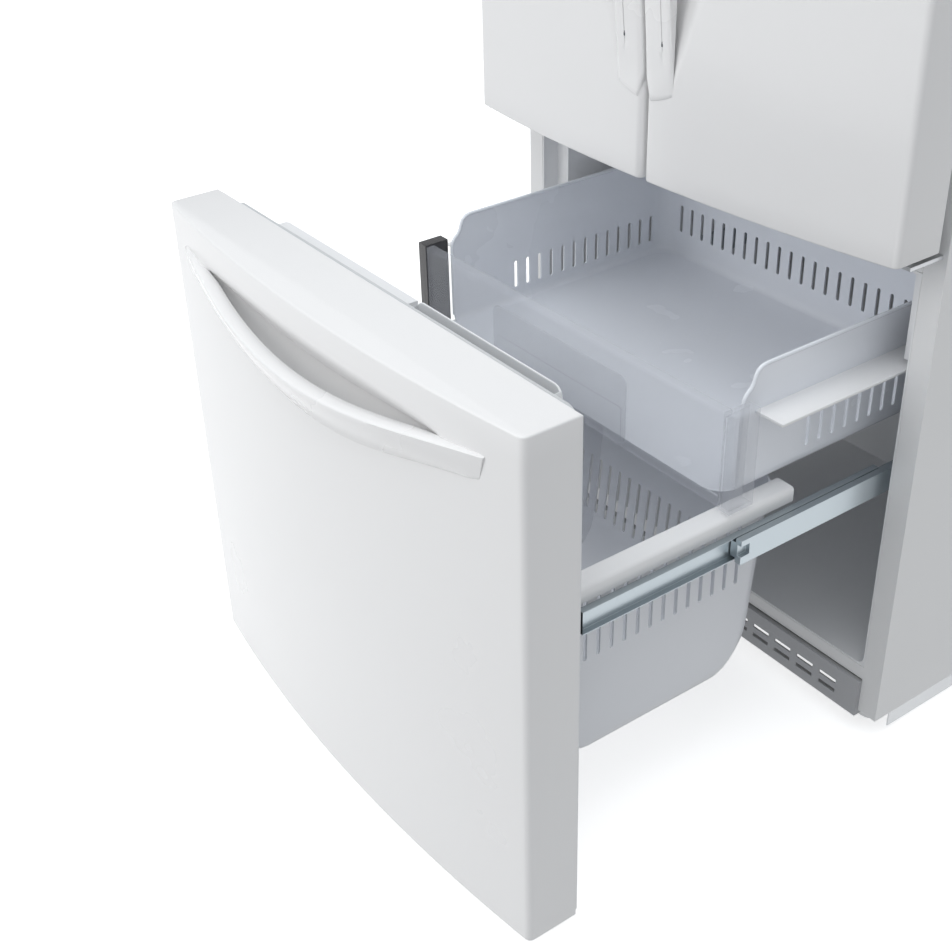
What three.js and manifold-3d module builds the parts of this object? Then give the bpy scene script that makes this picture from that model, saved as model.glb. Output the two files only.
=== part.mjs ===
// French door refrigerator: two doors over a pull-out freezer drawer, shown with the drawer open.
// Millimetres. X runs across the front to the right, Y from the front to the rear, Z up from the floor.
// Every piece is drawn with the doors and drawers shut, with Y = 0 at the back of the shut doors.
// Groups then slide the freezer drawer, its tray and the middle slide members out to the rest pose.
import * as THREE from "three";
import { mergeVertices } from "three/addons/utils/BufferGeometryUtils.js";
import Module from "manifold-3d";

const wasm = await Module();
wasm.setup();

// ---------- driving dimensions ----------
const width = 756; // cabinet, drawer front and the pair of doors, side to side
const cabinetDepth = 690;
const cabinetTop = 1738;
const doorHeight = 1000;
const drawerFrontHeight = 690;
const drawerFrontBottom = 25;
const frontGap = 20; // between the drawer front and the doors above it
const centreGap = 6; // between the two doors
const edgeThickness = 69; // doors and drawer front at their outer edges
const bow = 28; // how far the fronts swell towards the middle
const sealGap = 18; // from the back of the doors to the cabinet's face
const sheet = 1.2; // painted steel
const wall = 2.5; // moulded plastic
const fit = 0.3; // gap between pieces that touch
const handleStand = 30; // how far each handle stands off its front at the middle
const flange = 30; // width of the cabinet's front face
const freezerFloor = 118;
const freezerCeiling = 693;
const freshFoodFloor = 755;
const basketRim = 445;
const basketHeight = 275;
const basketSpare = 360; // the basket is this much shorter than the cabinet, to clear the step
const sideWall = 40; // foamed side walls
const basketGap = 51; // from the liner's side to the inside of the basket
const trayFloor = 457;
const trayGap = 50; // and to the inside of the tray
const traySpare = 276; // and the tray, to clear the evaporator cover
const trayHeld = 125; // length of tray still inside when it is drawn out
const slideHeight = 406; // centre line of the drawer slides
const slideSpare = 190; // the slides are this much shorter than the cabinet
const slideOverrun = 4; // the drawer travels this much more than its slides' length
const rollerRadius = 22;
const hingeInset = 18; // hinge pins in from the cabinet's sides
const hingeSetback = 25; // hinge pins in front of the doors' backs
const pinRadius = 5;

// ---------- derived dimensions ----------
const half = width / 2;
const drawerTop = drawerFrontBottom + drawerFrontHeight;
const doorBottom = drawerTop + frontGap;
const doorTop = doorBottom + doorHeight;
const cabinetRear = sealGap + cabinetDepth;
const opening = half - flange; // half width of the cabinet's front opening
const pinX = half - hingeInset;
const lowerHalf = half - sideWall; // inside half width of the liners
const basketHalfWidth = lowerHalf - basketGap;
const trayHalfWidth = lowerHalf - trayGap;
const slideLength = cabinetDepth - slideSpare;
const basketDepth = cabinetDepth - basketSpare;
const trayDepth = cabinetDepth - traySpare;
const drawerTravel = slideLength + slideOverrun;
const trayTravel = trayDepth - trayHeld;

// ---------- solids ----------
// A closed three.js geometry as a solid that can be joined and cut.
function solid(geometry) {
  const bare = geometry.index ? geometry.toNonIndexed() : geometry;
  bare.deleteAttribute("normal");
  bare.deleteAttribute("uv");
  const merged = mergeVertices(bare, 1e-3);
  return new wasm.Manifold(
    new wasm.Mesh({
      numProp: 3,
      vertProperties: merged.attributes.position.array,
      triVerts: new Uint32Array(merged.index.array),
    }),
  );
}

function box(x0, x1, y0, y1, z0, z1) {
  const geometry = new THREE.BoxGeometry(x1 - x0, y1 - y0, z1 - z0);
  geometry.translate((x0 + x1) / 2, (y0 + y1) / 2, (z0 + z1) / 2);
  return solid(geometry);
}

function flatShape(points) {
  return new THREE.Shape(points.map(([a, b]) => new THREE.Vector2(a, b)));
}

// A plan outline of [x, y] points, extruded up from z0 to z1.
function prismZ(points, z0, z1) {
  const geometry = new THREE.ExtrudeGeometry(flatShape(points), { depth: z1 - z0, bevelEnabled: false });
  geometry.translate(0, 0, z0);
  return solid(geometry);
}

// A side outline of [y, z] points, extruded across from x0 to x1.
function prismX(points, x0, x1) {
  const geometry = new THREE.ExtrudeGeometry(flatShape(points), { depth: x1 - x0, bevelEnabled: false });
  geometry.rotateX(Math.PI / 2);
  geometry.rotateZ(Math.PI / 2);
  geometry.translate(x0, 0, 0);
  return solid(geometry);
}

// A front outline of [x, z] points, extruded back from y0 to y1.
function prismY(points, y0, y1) {
  const geometry = new THREE.ExtrudeGeometry(flatShape(points), { depth: y1 - y0, bevelEnabled: false });
  geometry.rotateX(Math.PI / 2);
  geometry.translate(0, y1, 0);
  return solid(geometry);
}

function cylinder(axis, radius, from, to, a, b, sides = 20) {
  const geometry = new THREE.CylinderGeometry(radius, radius, to - from, sides);
  const middle = (from + to) / 2;
  if (axis === "x") geometry.rotateZ(Math.PI / 2).translate(middle, a, b);
  if (axis === "y") geometry.translate(a, middle, b);
  if (axis === "z") geometry.rotateX(Math.PI / 2).translate(a, b, middle);
  return solid(geometry);
}

// A [radius, z] profile that starts and ends on the axis, turned about a vertical line at (x, y).
function turned(profile, x, y, sides = 20) {
  const points = profile.map(([r, z]) => new THREE.Vector2(r, z));
  const geometry = new THREE.LatheGeometry(points, sides);
  geometry.rotateX(Math.PI / 2).translate(x, y, 0);
  return solid(geometry);
}

// A section of [a, b] points carried along a curve; a and b are the curve's normal and binormal.
function swept(section, curve, steps) {
  const shape = flatShape(section);
  return solid(new THREE.ExtrudeGeometry(shape, { extrudePath: curve, steps, bevelEnabled: false }));
}

function join(first, ...others) {
  return others.reduce((whole, piece) => whole.add(piece), first);
}

function cut(first, ...others) {
  return others.reduce((whole, piece) => whole.subtract(piece), first);
}

// The four corners of a rectangle, each turned into a round of the given radius.
function roundedRect(a0, a1, b0, b1, radius, steps = 3) {
  const corners = [
    [a1 - radius, b1 - radius, 0],
    [a0 + radius, b1 - radius, 1],
    [a0 + radius, b0 + radius, 2],
    [a1 - radius, b0 + radius, 3],
  ];
  return corners.flatMap(([a, b, quarter]) =>
    Array.from({ length: steps + 1 }, (_, i) => {
      const angle = ((quarter + i / steps) * Math.PI) / 2;
      return [a + radius * Math.cos(angle), b + radius * Math.sin(angle)];
    }),
  );
}

// Points on an ellipse, used as a swept section.
function ellipse(radiusA, radiusB, sides) {
  return Array.from({ length: sides }, (_, i) => {
    const angle = (2 * Math.PI * i) / sides;
    return [radiusA * Math.cos(angle), radiusB * Math.sin(angle)];
  });
}

// A parabola from one end to the other that passes through the middle point.
function arch(end, middle, otherEnd) {
  const control = middle.clone().multiplyScalar(2).sub(end.clone().add(otherEnd).multiplyScalar(0.5));
  return new THREE.QuadraticBezierCurve3(end, control, otherEnd);
}

// ---------- colours ----------
function finish(color, roughness, metalness = 0, opacity = 1) {
  const look = { color, roughness, metalness, opacity, transparent: opacity < 1 };
  return () => new THREE.MeshStandardMaterial(look);
}
const whiteEnamel = finish(0xececec, 0.3);
const whitePlastic = finish(0xe6e7e9, 0.45);
const binPlastic = finish(0xd4dae2, 0.4);
const clearPlastic = finish(0xc2c4d0, 0.15, 0, 0.45);
const smokePlastic = finish(0x48484b, 0.35);
const sealVinyl = finish(0xd8d8d8, 0.7);
const slideSteel = finish(0x9aa6ad, 0.35, 0.9);
const bareSteel = finish(0x8d9296, 0.5, 0.8);
const greyPlastic = finish(0x77797c, 0.6);
const blackPaint = finish(0x1d1d1f, 0.5);
const finStock = finish(0xb9bdc0, 0.4, 0.9);
const insulation = finish(0xe9d9a8, 0.9);
const shelfGlass = finish(0xcfe3de, 0.1, 0, 0.4);
const darkRubber = finish(0x2a2a2a, 0.8);

// ---------- scene graph ----------
const refrigerator = new THREE.Group();
const cabinet = new THREE.Group();
const freezerDrawer = new THREE.Group();
const middleSlides = new THREE.Group();
const pulloutTray = new THREE.Group();
const doors = new THREE.Group();
refrigerator.add(cabinet, freezerDrawer, middleSlides, pulloutTray, doors);
freezerDrawer.position.y = -drawerTravel;
middleSlides.position.y = -drawerTravel / 2;
pulloutTray.position.y = -trayTravel;

function add(group, name, shape, material, position = [0, 0, 0]) {
  const mesh = shape.getMesh();
  const geometry = new THREE.BufferGeometry();
  geometry.setAttribute("position", new THREE.BufferAttribute(mesh.vertProperties, 3));
  geometry.setIndex(new THREE.BufferAttribute(mesh.triVerts, 1));
  geometry.computeVertexNormals();
  const node = new THREE.Mesh(geometry, material());
  node.name = name;
  node.position.set(...position);
  group.add(node);
}

const sides = [
  { name: "left", sign: -1 },
  { name: "right", sign: 1 },
];

// A box given on the right-hand side, put on either side of the middle.
function sideBox(sign, x0, x1, y0, y1, z0, z1) {
  return box(Math.min(sign * x0, sign * x1), Math.max(sign * x0, sign * x1), y0, y1, z0, z1);
}

// ---------- fronts shared by the drawer and the doors ----------
const cornerRound = 9;

// Where the outside of the fronts lies at x: one shallow curve across the whole width.
function frontY(x) {
  return -(edgeThickness + bow * (1 - (x / half) ** 2));
}

// Plan outline of a front between x0 and x1, drawn in by inset on its sides and its face.
function frontPlan(x0, x1, inset, back) {
  const left = x0 + inset;
  const right = x1 - inset;
  const round = cornerRound - inset;
  const nearCorner = round * (1 - Math.SQRT1_2);
  const steps = Math.round((right - left - 2 * round) / 55);
  const points = [[left, back]];
  points.push([left, frontY(left) + round + inset], [left + nearCorner, frontY(left) + nearCorner + inset]);
  for (let i = 0; i <= steps; i += 1) {
    const x = left + round + ((right - left - 2 * round) * i) / steps;
    points.push([x, frontY(x) + inset]);
  }
  points.push([right - nearCorner, frontY(right) + nearCorner + inset]);
  points.push([right, frontY(right) + round + inset]);
  points.push([right, back]);
  return points;
}

// ---------- freezer drawer front ----------
const handleSpan = 325; // half length of the drawer's handle
const handleEndTop = drawerTop - 52;
const handleMiddleTop = drawerTop - 76;
const handleTall = 60;
const handleLip = 20; // depth of the handle's upper face
const handleFoot = 12; // where a handle meets its front
const scoopDepth = 30;
const scoopTall = 50; // half height of the finger scoop

function drawerScoop(extra) {
  const reach = scoopDepth + 10;
  const end = (sign) => new THREE.Vector3(sign * (handleSpan + 5), frontY(0) - reach + 12, handleEndTop);
  const middle = new THREE.Vector3(0, frontY(0) - 10, handleMiddleTop - 4);
  return swept(ellipse(scoopTall + extra, reach + extra, 14), arch(end(-1), middle, end(1)), 18);
}

function addDrawerFront() {
  const outside = prismZ(frontPlan(-half, half, 0, 0), drawerFrontBottom, drawerTop);
  const inside = prismZ(frontPlan(-half, half, sheet, 10), drawerFrontBottom + sheet, drawerTop - sheet);
  const skin = cut(outside, drawerScoop(0), cut(inside, drawerScoop(sheet)));
  add(freezerDrawer, "drawer_front", skin, whiteEnamel);

  const end = (sign) => new THREE.Vector3(sign * handleSpan, frontY(handleSpan) - 1, handleEndTop);
  const middle = new THREE.Vector3(0, frontY(0) - handleStand, handleMiddleTop);
  const rear = handleStand + 8;
  const foot = [[handleTall, handleStand - 3], [handleTall, rear], [handleTall - handleFoot, rear]];
  const leaning = [[0, 0], ...foot, [0, handleLip]];
  const strip = swept(leaning, arch(end(-1), middle, end(1)), 20);
  const blank = prismZ(frontPlan(-half, half, -fit, 10), drawerFrontBottom, drawerTop);
  add(freezerDrawer, "drawer_handle", cut(strip, blank), whiteEnamel);
}

// ---------- liners of the drawer front and the doors ----------
const linerPlate = 5;
const dikeDepth = 49;
const dikeWall = 28;

// The foamed inner half of a front: core, back plate and the raised dike inside the seal.
function foamedLiner(x0, x1, z0, z1, scoop, dike) {
  const inset = sheet + fit;
  const core = prismZ(frontPlan(x0, x1, inset, 0), z0 + inset, z1 - inset);
  const plate = box(x0 + 4, x1 - 4, fit, linerPlate, z0 + 4, z1 - 4);
  const neck = box(x0 + inset, x1 - inset, -1, 1, z0 + inset, z1 - inset);
  const ridge = prismY(roundedRect(dike.x0, dike.x1, dike.z0, dike.z1, 20), linerPlate - 1, dikeDepth);
  const well = prismY(
    roundedRect(dike.x0 + dikeWall, dike.x1 - dikeWall, dike.z0 + dikeWall, dike.z1 - dikeWall, 12),
    linerPlate + 3,
    dikeDepth + 1,
  );
  return cut(join(cut(core, scoop), neck, plate, ridge), well);
}

function sealRing(x0, x1, z0, z1) {
  const lip = 13;
  const outline = prismY(roundedRect(x0, x1, z0, z1, 6, 1), linerPlate + fit, sealGap - 0.5);
  return cut(outline, box(x0 + lip, x1 - lip, 0, sealGap, z0 + lip, z1 - lip));
}

const dikeInset = 83; // from the sides of the drawer front to its dike
const drawerDike = { x0: dikeInset - half, x1: half - dikeInset, z0: 138, z1: drawerTop - 28 };
const drawerSeal = { half: opening + 4, bottom: freezerFloor - 15, top: drawerTop - 12 };
const pocket = { x0: 26, x1: drawerDike.x1 - 6, z0: 565, z1: drawerTop - 26 };

function addDrawerLiner() {
  const lined = foamedLiner(-half, half, drawerFrontBottom, drawerTop, drawerScoop(sheet + fit), drawerDike);
  const bay = box(pocket.x0 - fit, half, linerPlate, dikeDepth + 1, pocket.z0 - fit, drawerTop);
  add(freezerDrawer, "drawer_liner", cut(lined, bay), whitePlastic);
  const seal = sealRing(-drawerSeal.half, drawerSeal.half, drawerSeal.bottom, drawerSeal.top);
  add(freezerDrawer, "drawer_gasket", seal, sealVinyl);
  const front = roundedRect(pocket.x0, pocket.x1, pocket.z0, pocket.z1, 12);
  const hollow = box(pocket.x0 + wall, pocket.x1 - wall, linerPlate + fit + wall, dikeDepth - wall,
    pocket.z0 + wall, pocket.z1 + 1);
  add(freezerDrawer, "drawer_pocket", cut(prismY(front, linerPlate + fit, dikeDepth), hollow), binPlastic);
}

// ---------- freezer basket and its divider ----------
const basketFront = dikeDepth + 5;
const basketRear = basketFront + basketDepth;
const basketFloor = basketRim - basketHeight;
const basketLean = 29; // how far the rear wall's foot stands in front of its top
const basketRearRound = 65;
const basketFrontRound = 30;
const rimReach = 27; // side rims stand out over the slides
const slotWidth = 6;
const slotPitch = 20;

// Side outline of the basket, drawn in by inset on the front, floor and rear, open above top.
function basketSide(inset, top) {
  const front = basketFront + inset;
  const floor = basketFloor + inset;
  const slope = basketLean / basketHeight;
  const rearAt = (z) => basketRear - inset - slope * (basketRim - z);
  const round = basketRearRound - inset;
  const points = [[front, top], [front, floor + basketFrontRound]];
  const cornerIn = basketFrontRound * (1 - Math.SQRT1_2);
  points.push([front + cornerIn, floor + cornerIn], [front + basketFrontRound, floor]);
  for (let i = 0; i <= 5; i += 1) {
    const angle = (Math.PI / 2) * (i / 5);
    const z = floor + round * (1 - Math.cos(angle));
    points.push([rearAt(z) - round * (1 - Math.sin(angle)), z]);
  }
  points.push([rearAt(top), top]);
  return points;
}

function addBasket() {
  const outerHalf = basketHalfWidth + wall;
  const plan = roundedRect(-outerHalf, outerHalf, basketFront, basketRear, 24);
  const innerPlan = roundedRect(-basketHalfWidth, basketHalfWidth, basketFront + wall, basketRear - wall, 22);
  const shell = prismX(basketSide(0, basketRim), -outerHalf, outerHalf)
    .intersect(prismZ(plan, basketFloor - 1, basketRim));
  const hollow = prismX(basketSide(wall, basketRim + 5), -basketHalfWidth, basketHalfWidth)
    .intersect(prismZ(innerPlan, basketFloor, basketRim + 5));
  const rimHalf = basketHalfWidth + rimReach;
  const rim = box(-rimHalf, rimHalf, basketFront, basketRear, basketRim - 6, basketRim);
  const skirts = sides.map(({ sign }) =>
    sideBox(sign, rimHalf - 3, rimHalf, basketFront, basketRear, basketRim - 21, basketRim));
  const rimHole = prismZ(innerPlan, basketRim - 10, basketRim + 1);
  const sideSlots = [];
  for (let y = basketFront + 26; y < basketRear - 40; y += slotPitch) {
    sideSlots.push(box(-half, half, y, y + slotWidth, basketRim - 131, basketRim - 34));
  }
  const rearSlots = [];
  for (let x = -12 * slotPitch - slotWidth / 2; x < 12 * slotPitch; x += slotPitch) {
    rearSlots.push(box(x, x + slotWidth, basketRear - 60, basketRear + 5, basketRim - 208, basketRim - 121));
  }
  const basket = cut(join(shell, rim, ...skirts), hollow, rimHole, ...sideSlots, ...rearSlots);
  add(freezerDrawer, "freezer_basket", basket, binPlastic);

  const gap = 4;
  const plate = prismX(basketSide(wall + gap, basketRim - 9), -1.5, 1.5);
  const relief = cylinder("x", 60, -5, 5, basketRear - 34, basketFloor + 34, 24);
  const block = box(-5, 5, basketRear - 64, basketRear, basketFloor, basketFloor + 64);
  add(freezerDrawer, "basket_divider", cut(plate, cut(block, relief)), clearPlastic, [-20, 0, 0]);
}

// ---------- drawer slides ----------
const slideFront = 26;
const innerHeight = 32;
const outerHeight = 40;
const slideX = {
  inner: lowerHalf - 23,
  middle: lowerHalf - 20,
  step: lowerHalf - 12,
  outer: lowerHalf - 3,
  web: lowerHalf - 0.5,
};

function addSlides() {
  for (const { name, sign } of sides) {
    const place = (points) => points.map(([x, z]) => [sign * x, slideHeight + z]);
    const inner = place([
      [slideX.inner, -innerHeight / 2], [slideX.inner + 9, -innerHeight / 2],
      [slideX.inner + 9, 1.5 - innerHeight / 2], [slideX.inner + 1.5, 1.5 - innerHeight / 2],
      [slideX.inner + 1.5, innerHeight / 2 - 1.5], [slideX.inner + 9, innerHeight / 2 - 1.5],
      [slideX.inner + 9, innerHeight / 2], [slideX.inner, innerHeight / 2],
    ]);
    const plate = linerPlate + fit;
    const bracket = sideBox(sign, slideX.inner - 17, slideX.outer - 1, plate, plate + 2,
      slideHeight - 24, slideHeight + 24);
    const arm = sideBox(sign, slideX.inner - 2, slideX.inner + 1, plate, 150,
      slideHeight - 14, slideHeight + 14);
    const rail = prismY(inner, slideFront + 24, slideFront + slideLength);
    add(freezerDrawer, "slide_inner_" + name, join(rail, arm, bracket), slideSteel);

    const tee = place([
      [slideX.middle, -11], [slideX.step, -11], [slideX.step, -17], [slideX.outer, -17],
      [slideX.outer, 17], [slideX.step, 17], [slideX.step, 11], [slideX.middle, 11],
    ]);
    const notch = sideBox(sign, slideX.step + 3, slideX.web + 1, 0, slideFront + 14,
      slideHeight - 6, slideHeight + 9);
    const middle = cut(prismY(tee, slideFront, slideFront + slideLength), notch);
    add(middleSlides, "slide_middle_" + name, middle, slideSteel);

    const channel = place([
      [slideX.step + 2, -outerHeight / 2], [slideX.web, -outerHeight / 2],
      [slideX.web, outerHeight / 2], [slideX.step + 2, outerHeight / 2],
      [slideX.step + 2, outerHeight / 2 - 1.5], [slideX.web - 1.5, outerHeight / 2 - 1.5],
      [slideX.web - 1.5, 1.5 - outerHeight / 2], [slideX.step + 2, 1.5 - outerHeight / 2],
    ]);
    const slideEnd = slideFront + slideLength + 6;
    add(cabinet, "slide_outer_" + name, prismY(channel, slideFront + 22, slideEnd), slideSteel);
  }
}

// ---------- pull-out tray ----------
const trayPanelFront = dikeDepth + 9;
const trayRear = trayPanelFront + 39 + trayDepth;
const trayWallTop = 619;
const trayPanelTop = 581;
const trayPanelHalf = trayHalfWidth + 10;
const trayBottom = trayFloor - wall - 1.5;
const trayFlange = { top: 560, reach: lowerHalf - 5, thick: 4 };
const trayGripHalf = 135;
const capReach = lowerHalf - 21; // outer sides of the end caps
const guideTop = trayFlange.top - trayFlange.thick - fit;

function addTray() {
  const outerHalf = trayHalfWidth + wall;
  const sideFront = trayPanelFront + 38;
  const profile = (inset, top) => [
    [sideFront + inset, trayFloor - wall + inset], [sideFront + inset, trayWallTop - 30],
    [sideFront + inset + 5, trayWallTop - 20], [sideFront + inset + 22, trayWallTop - 12],
    [sideFront + inset + 34, trayWallTop - 3], [sideFront + inset + 44, trayWallTop],
    [sideFront + inset + 44, top], [trayRear - inset, top], [trayRear - inset, trayFloor - wall + inset],
  ];
  const plan = roundedRect(-outerHalf, outerHalf, sideFront - 40, trayRear, 20);
  const innerPlan = roundedRect(-trayHalfWidth, trayHalfWidth, sideFront - 60, trayRear - wall, 18);
  const shell = prismX(profile(0, trayWallTop), -outerHalf, outerHalf)
    .intersect(prismZ(plan, trayBottom, trayWallTop));
  const floorHalf = trayHalfWidth - 5;
  const floor = box(-floorHalf, floorHalf, trayPanelFront + 18, sideFront + 1, trayFloor - wall, trayFloor);
  const hollow = prismZ(innerPlan, trayFloor, trayWallTop + 5);
  const flanges = sides.map(({ sign }) =>
    sideBox(sign, outerHalf - 1, trayFlange.reach, sideFront + 20, trayRear - 5,
      trayFlange.top - trayFlange.thick, trayFlange.top));
  const slots = [];
  const sidePitch = 22.3;
  for (let i = 0; i < 13; i += 1) {
    const y = trayRear - 34 - i * sidePitch;
    slots.push(box(-half, half, y - slotWidth / 2, y + slotWidth / 2, trayFloor + 20, trayFloor + 63));
  }
  const rearPitch = 22.9;
  for (let i = -11; i <= 11; i += 1) {
    const x = i * rearPitch - slotWidth / 2;
    slots.push(box(x, x + slotWidth, trayRear - 10, trayRear + 5, trayFloor + 39, trayFloor + 83));
  }
  add(pulloutTray, "pullout_tray", cut(join(shell, floor, ...flanges), hollow, ...slots), binPlastic);

  const panel = join(
    box(-trayPanelHalf, trayPanelHalf, trayPanelFront, trayPanelFront + 4, trayBottom, trayPanelTop),
    box(-trayPanelHalf, trayPanelHalf, trayPanelFront, trayPanelFront + 13, trayPanelTop - 8, trayPanelTop),
  );
  add(pulloutTray, "tray_front_panel", panel, clearPlastic);
  const gripOutline = roundedRect(-trayGripHalf, trayGripHalf, trayFloor + 2, trayFloor + 98, 12);
  const grip = prismY(gripOutline, trayPanelFront - 3.5, trayPanelFront - fit);
  const ledgeHalf = trayGripHalf - 7;
  const ledgeY = trayPanelFront - 4;
  const ledge = box(-ledgeHalf, ledgeHalf, ledgeY, ledgeY + 2.2, trayFloor + 6, trayFloor + 54);
  add(pulloutTray, "tray_handle_insert", cut(grip, ledge), clearPlastic);
  for (const { name, sign } of sides) {
    const block = sideBox(sign, trayPanelHalf + fit, capReach, trayPanelFront - 1, sideFront - fit,
      trayBottom - 1, trayPanelTop + 2);
    const hollowCap = sideBox(sign, trayPanelHalf + wall, capReach - wall, trayPanelFront + 2, sideFront + 1,
      trayBottom + 2, trayPanelTop - 2);
    const material = sign < 0 ? smokePlastic : clearPlastic;
    add(pulloutTray, "tray_cap_" + name, cut(block, hollowCap), material);
  }
}

// ---------- french doors ----------
const doorHandle = { bottom: doorBottom + 105, top: doorTop - 105, wide: 46, outer: 50 };
const doorScoopReach = 40;

function doorScoop(sign, extra) {
  const x = doorHandle.outer - 6;
  const end = (z) => new THREE.Vector3(sign * (x - 14), frontY(x) - doorScoopReach - 8, z);
  const middle = new THREE.Vector3(sign * x, frontY(x) - 12, (doorHandle.bottom + doorHandle.top) / 2);
  const curve = arch(end(doorHandle.bottom - 10), middle, end(doorHandle.top + 10));
  return swept(ellipse(42 + extra, doorScoopReach + extra, 14), curve, 18);
}

const doorBin = { left: 1180, right: 1250, clear: 5, reach: 112, tall: 120 };
const pinHole = pinRadius + 1;
const pinReach = 22;

function pinBores(sign, radius) {
  return [
    cylinder("z", radius, doorBottom - 5, doorBottom + pinReach + 3, sign * pinX, -hingeSetback),
    cylinder("z", radius, doorTop - pinReach - 3, doorTop + 5, sign * pinX, -hingeSetback),
  ];
}

function addDoor({ name, sign }) {
  const inner = centreGap / 2;
  const x0 = sign > 0 ? inner : -half;
  const x1 = sign > 0 ? half : -inner;
  const outside = prismZ(frontPlan(x0, x1, 0, 0), doorBottom, doorTop);
  const inside = prismZ(frontPlan(x0, x1, sheet, 10), doorBottom + sheet, doorTop - sheet);
  const core = cut(inside, doorScoop(sign, sheet));
  const skin = cut(outside, doorScoop(sign, 0), core, ...pinBores(sign, pinHole));
  add(doors, "door_skin_" + name, skin, whiteEnamel);

  const dikeX = [42, half - 56];
  const dike = sign > 0 ? { x0: dikeX[0], x1: dikeX[1] } : { x0: -dikeX[1], x1: -dikeX[0] };
  dike.z0 = doorBottom + 48;
  dike.z1 = doorTop - 48;
  const scoop = join(doorScoop(sign, sheet + fit), ...pinBores(sign, pinHole + 1));
  const lined = foamedLiner(x0, x1, doorBottom, doorTop, scoop, dike);
  add(doors, "door_liner_" + name, lined, whitePlastic);
  const sealX = sign > 0 ? [10, half - 16] : [16 - half, -10];
  add(doors, "door_gasket_" + name, sealRing(...sealX, doorBottom + 12, doorTop - 12), sealVinyl);

  const stripX = doorHandle.outer;
  const end = (z) => new THREE.Vector3(sign * stripX, frontY(stripX) - 1, z);
  const midHeight = (doorHandle.bottom + doorHandle.top) / 2;
  const middle = new THREE.Vector3(sign * stripX, frontY(stripX) - handleStand, midHeight);
  const { wide } = doorHandle;
  const rear = handleStand + 8;
  const foot = [[wide, rear], [wide - handleFoot, rear], [wide - 2 * handleFoot, handleLip]];
  const hook = [[0, 0], [wide, 0], ...foot, [0, handleLip]];
  const section = hook.map(([a, b]) => [sign * a, -b]);
  const strip = swept(section, arch(end(doorHandle.bottom), middle, end(doorHandle.top)), 20);
  const blank = prismZ(frontPlan(-half, half, -fit, 10), doorBottom, doorTop);
  add(doors, "door_handle_" + name, cut(strip, blank), whiteEnamel);

  const binX = [dike.x0 + dikeWall + doorBin.clear, dike.x1 - dikeWall - doorBin.clear];
  const binBack = linerPlate + 3 + doorBin.clear;
  const binBox = box(...binX, binBack, doorBin.reach, 0, doorBin.tall);
  const binHollow = box(binX[0] + wall, binX[1] - wall, binBack + wall, doorBin.reach - wall, wall,
    doorBin.tall + 1);
  add(doors, "door_bin_" + name, cut(binBox, binHollow), clearPlastic, [0, 0, doorBin[name]]);
}

const flap = { pivotX: -20, pivotY: 30, half: 8, reach: 42 };

function addMullion() {
  const { pivotX, pivotY } = flap;
  const bar = box(pivotX - flap.half, pivotX + flap.half, pivotY - flap.half, pivotY + flap.reach,
    freshFoodFloor + 35, doorTop - 60);
  add(doors, "mullion_flap", bar, whitePlastic);
}

// ---------- hinges ----------
function addHinges({ name, sign }) {
  const plateZ = drawerTop + 7;
  const pinY = -hingeSetback;
  const leaf = sideBox(sign, pinX - 28, pinX + 12, pinY - 12, sealGap - fit, plateZ, plateZ + 5);
  const pin = cylinder("z", pinRadius, plateZ + 1, doorBottom + pinReach - 2, sign * pinX, pinY);
  const tail = sideBox(sign, pinX - 28, pinX - 14, sealGap - 3.3, sealGap - fit, plateZ - 8, plateZ + 5);
  add(cabinet, "hinge_middle_" + name, join(leaf, pin, tail), bareSteel);
  const topZ = cabinetTop + fit;
  const strap = sideBox(sign, pinX - 30, pinX + 12, pinY - 12, sealGap + 90, topZ, topZ + 5);
  const topPin = cylinder("z", pinRadius, doorTop - pinReach + 2, topZ + 4, sign * pinX, pinY);
  const nut = cylinder("z", 9, topZ + 4, topZ + 14, sign * pinX, sealGap + 50, 6);
  add(cabinet, "hinge_top_" + name, join(strap, topPin, nut), bareSteel);
}

// ---------- cabinet ----------
const mouth = opening - fit; // half width of each liner's mouth, outside
const mouthDepth = 45;
const mouthRound = 12;
const upperHalf = lowerHalf - 18; // inside half width of the freezer above the tray's guides
const rearWall = 68; // foamed wall behind the fresh food space
const freezerRearWall = 108;
const freshFoodRear = cabinetRear - rearWall;
const shelfFront = 150;
const shelfRear = freshFoodRear - 40;
const crisperCoverZ = 1010;
const shelfHeights = [1240, 1460];
const freezerRear = { y: cabinetRear - freezerRearWall, z: 370 };
const freezerStep = { y: freezerRear.y - 160, z: freezerRear.z - 80 };
const machine = { y: freezerStep.y + 50, z: 260, top: 325 };
const foamBottom = 95;
const foamRear = cabinetRear - 8;
const linerTop = cabinetTop - flange - fit;

// The way in through a liner's mouth, its corners rounded on the inside of the liner only.
function mouthNeck(bottom, top, extra, front) {
  const side = mouth - wall + extra;
  if (extra > 0) return box(-side, side, front, mouthDepth + extra, bottom - extra, top + extra);
  return prismY(roundedRect(-side, side, bottom, top, mouthRound), front, mouthDepth);
}

// The inside of the freezer grown by extra on every wall; its rear steps over the machine space.
function freezerSpace(extra, front) {
  const side = (top) => [
    [mouthDepth - extra, freezerFloor - extra], [freezerStep.y + extra, freezerFloor - extra],
    [freezerStep.y + extra, freezerStep.z - extra / 2], [freezerRear.y + extra, freezerRear.z - extra / 2],
    [freezerRear.y + extra, top], [mouthDepth - extra, top],
  ];
  const lower = prismX(side(trayFlange.top + 6 + extra), -lowerHalf - extra, lowerHalf + extra);
  const upper = prismX(side(freezerCeiling + extra), -upperHalf - extra, upperHalf + extra);
  const neck = mouthNeck(freezerFloor, freezerCeiling, extra, front);
  return join(lower, upper, neck);
}

function freshFoodSpace(extra, front) {
  const room = box(-lowerHalf - extra, lowerHalf + extra, mouthDepth - extra, freshFoodRear + extra,
    freshFoodFloor - extra, linerTop - wall + extra);
  const neck = mouthNeck(freshFoodFloor, linerTop - wall, extra, front);
  return join(room, neck);
}

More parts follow.
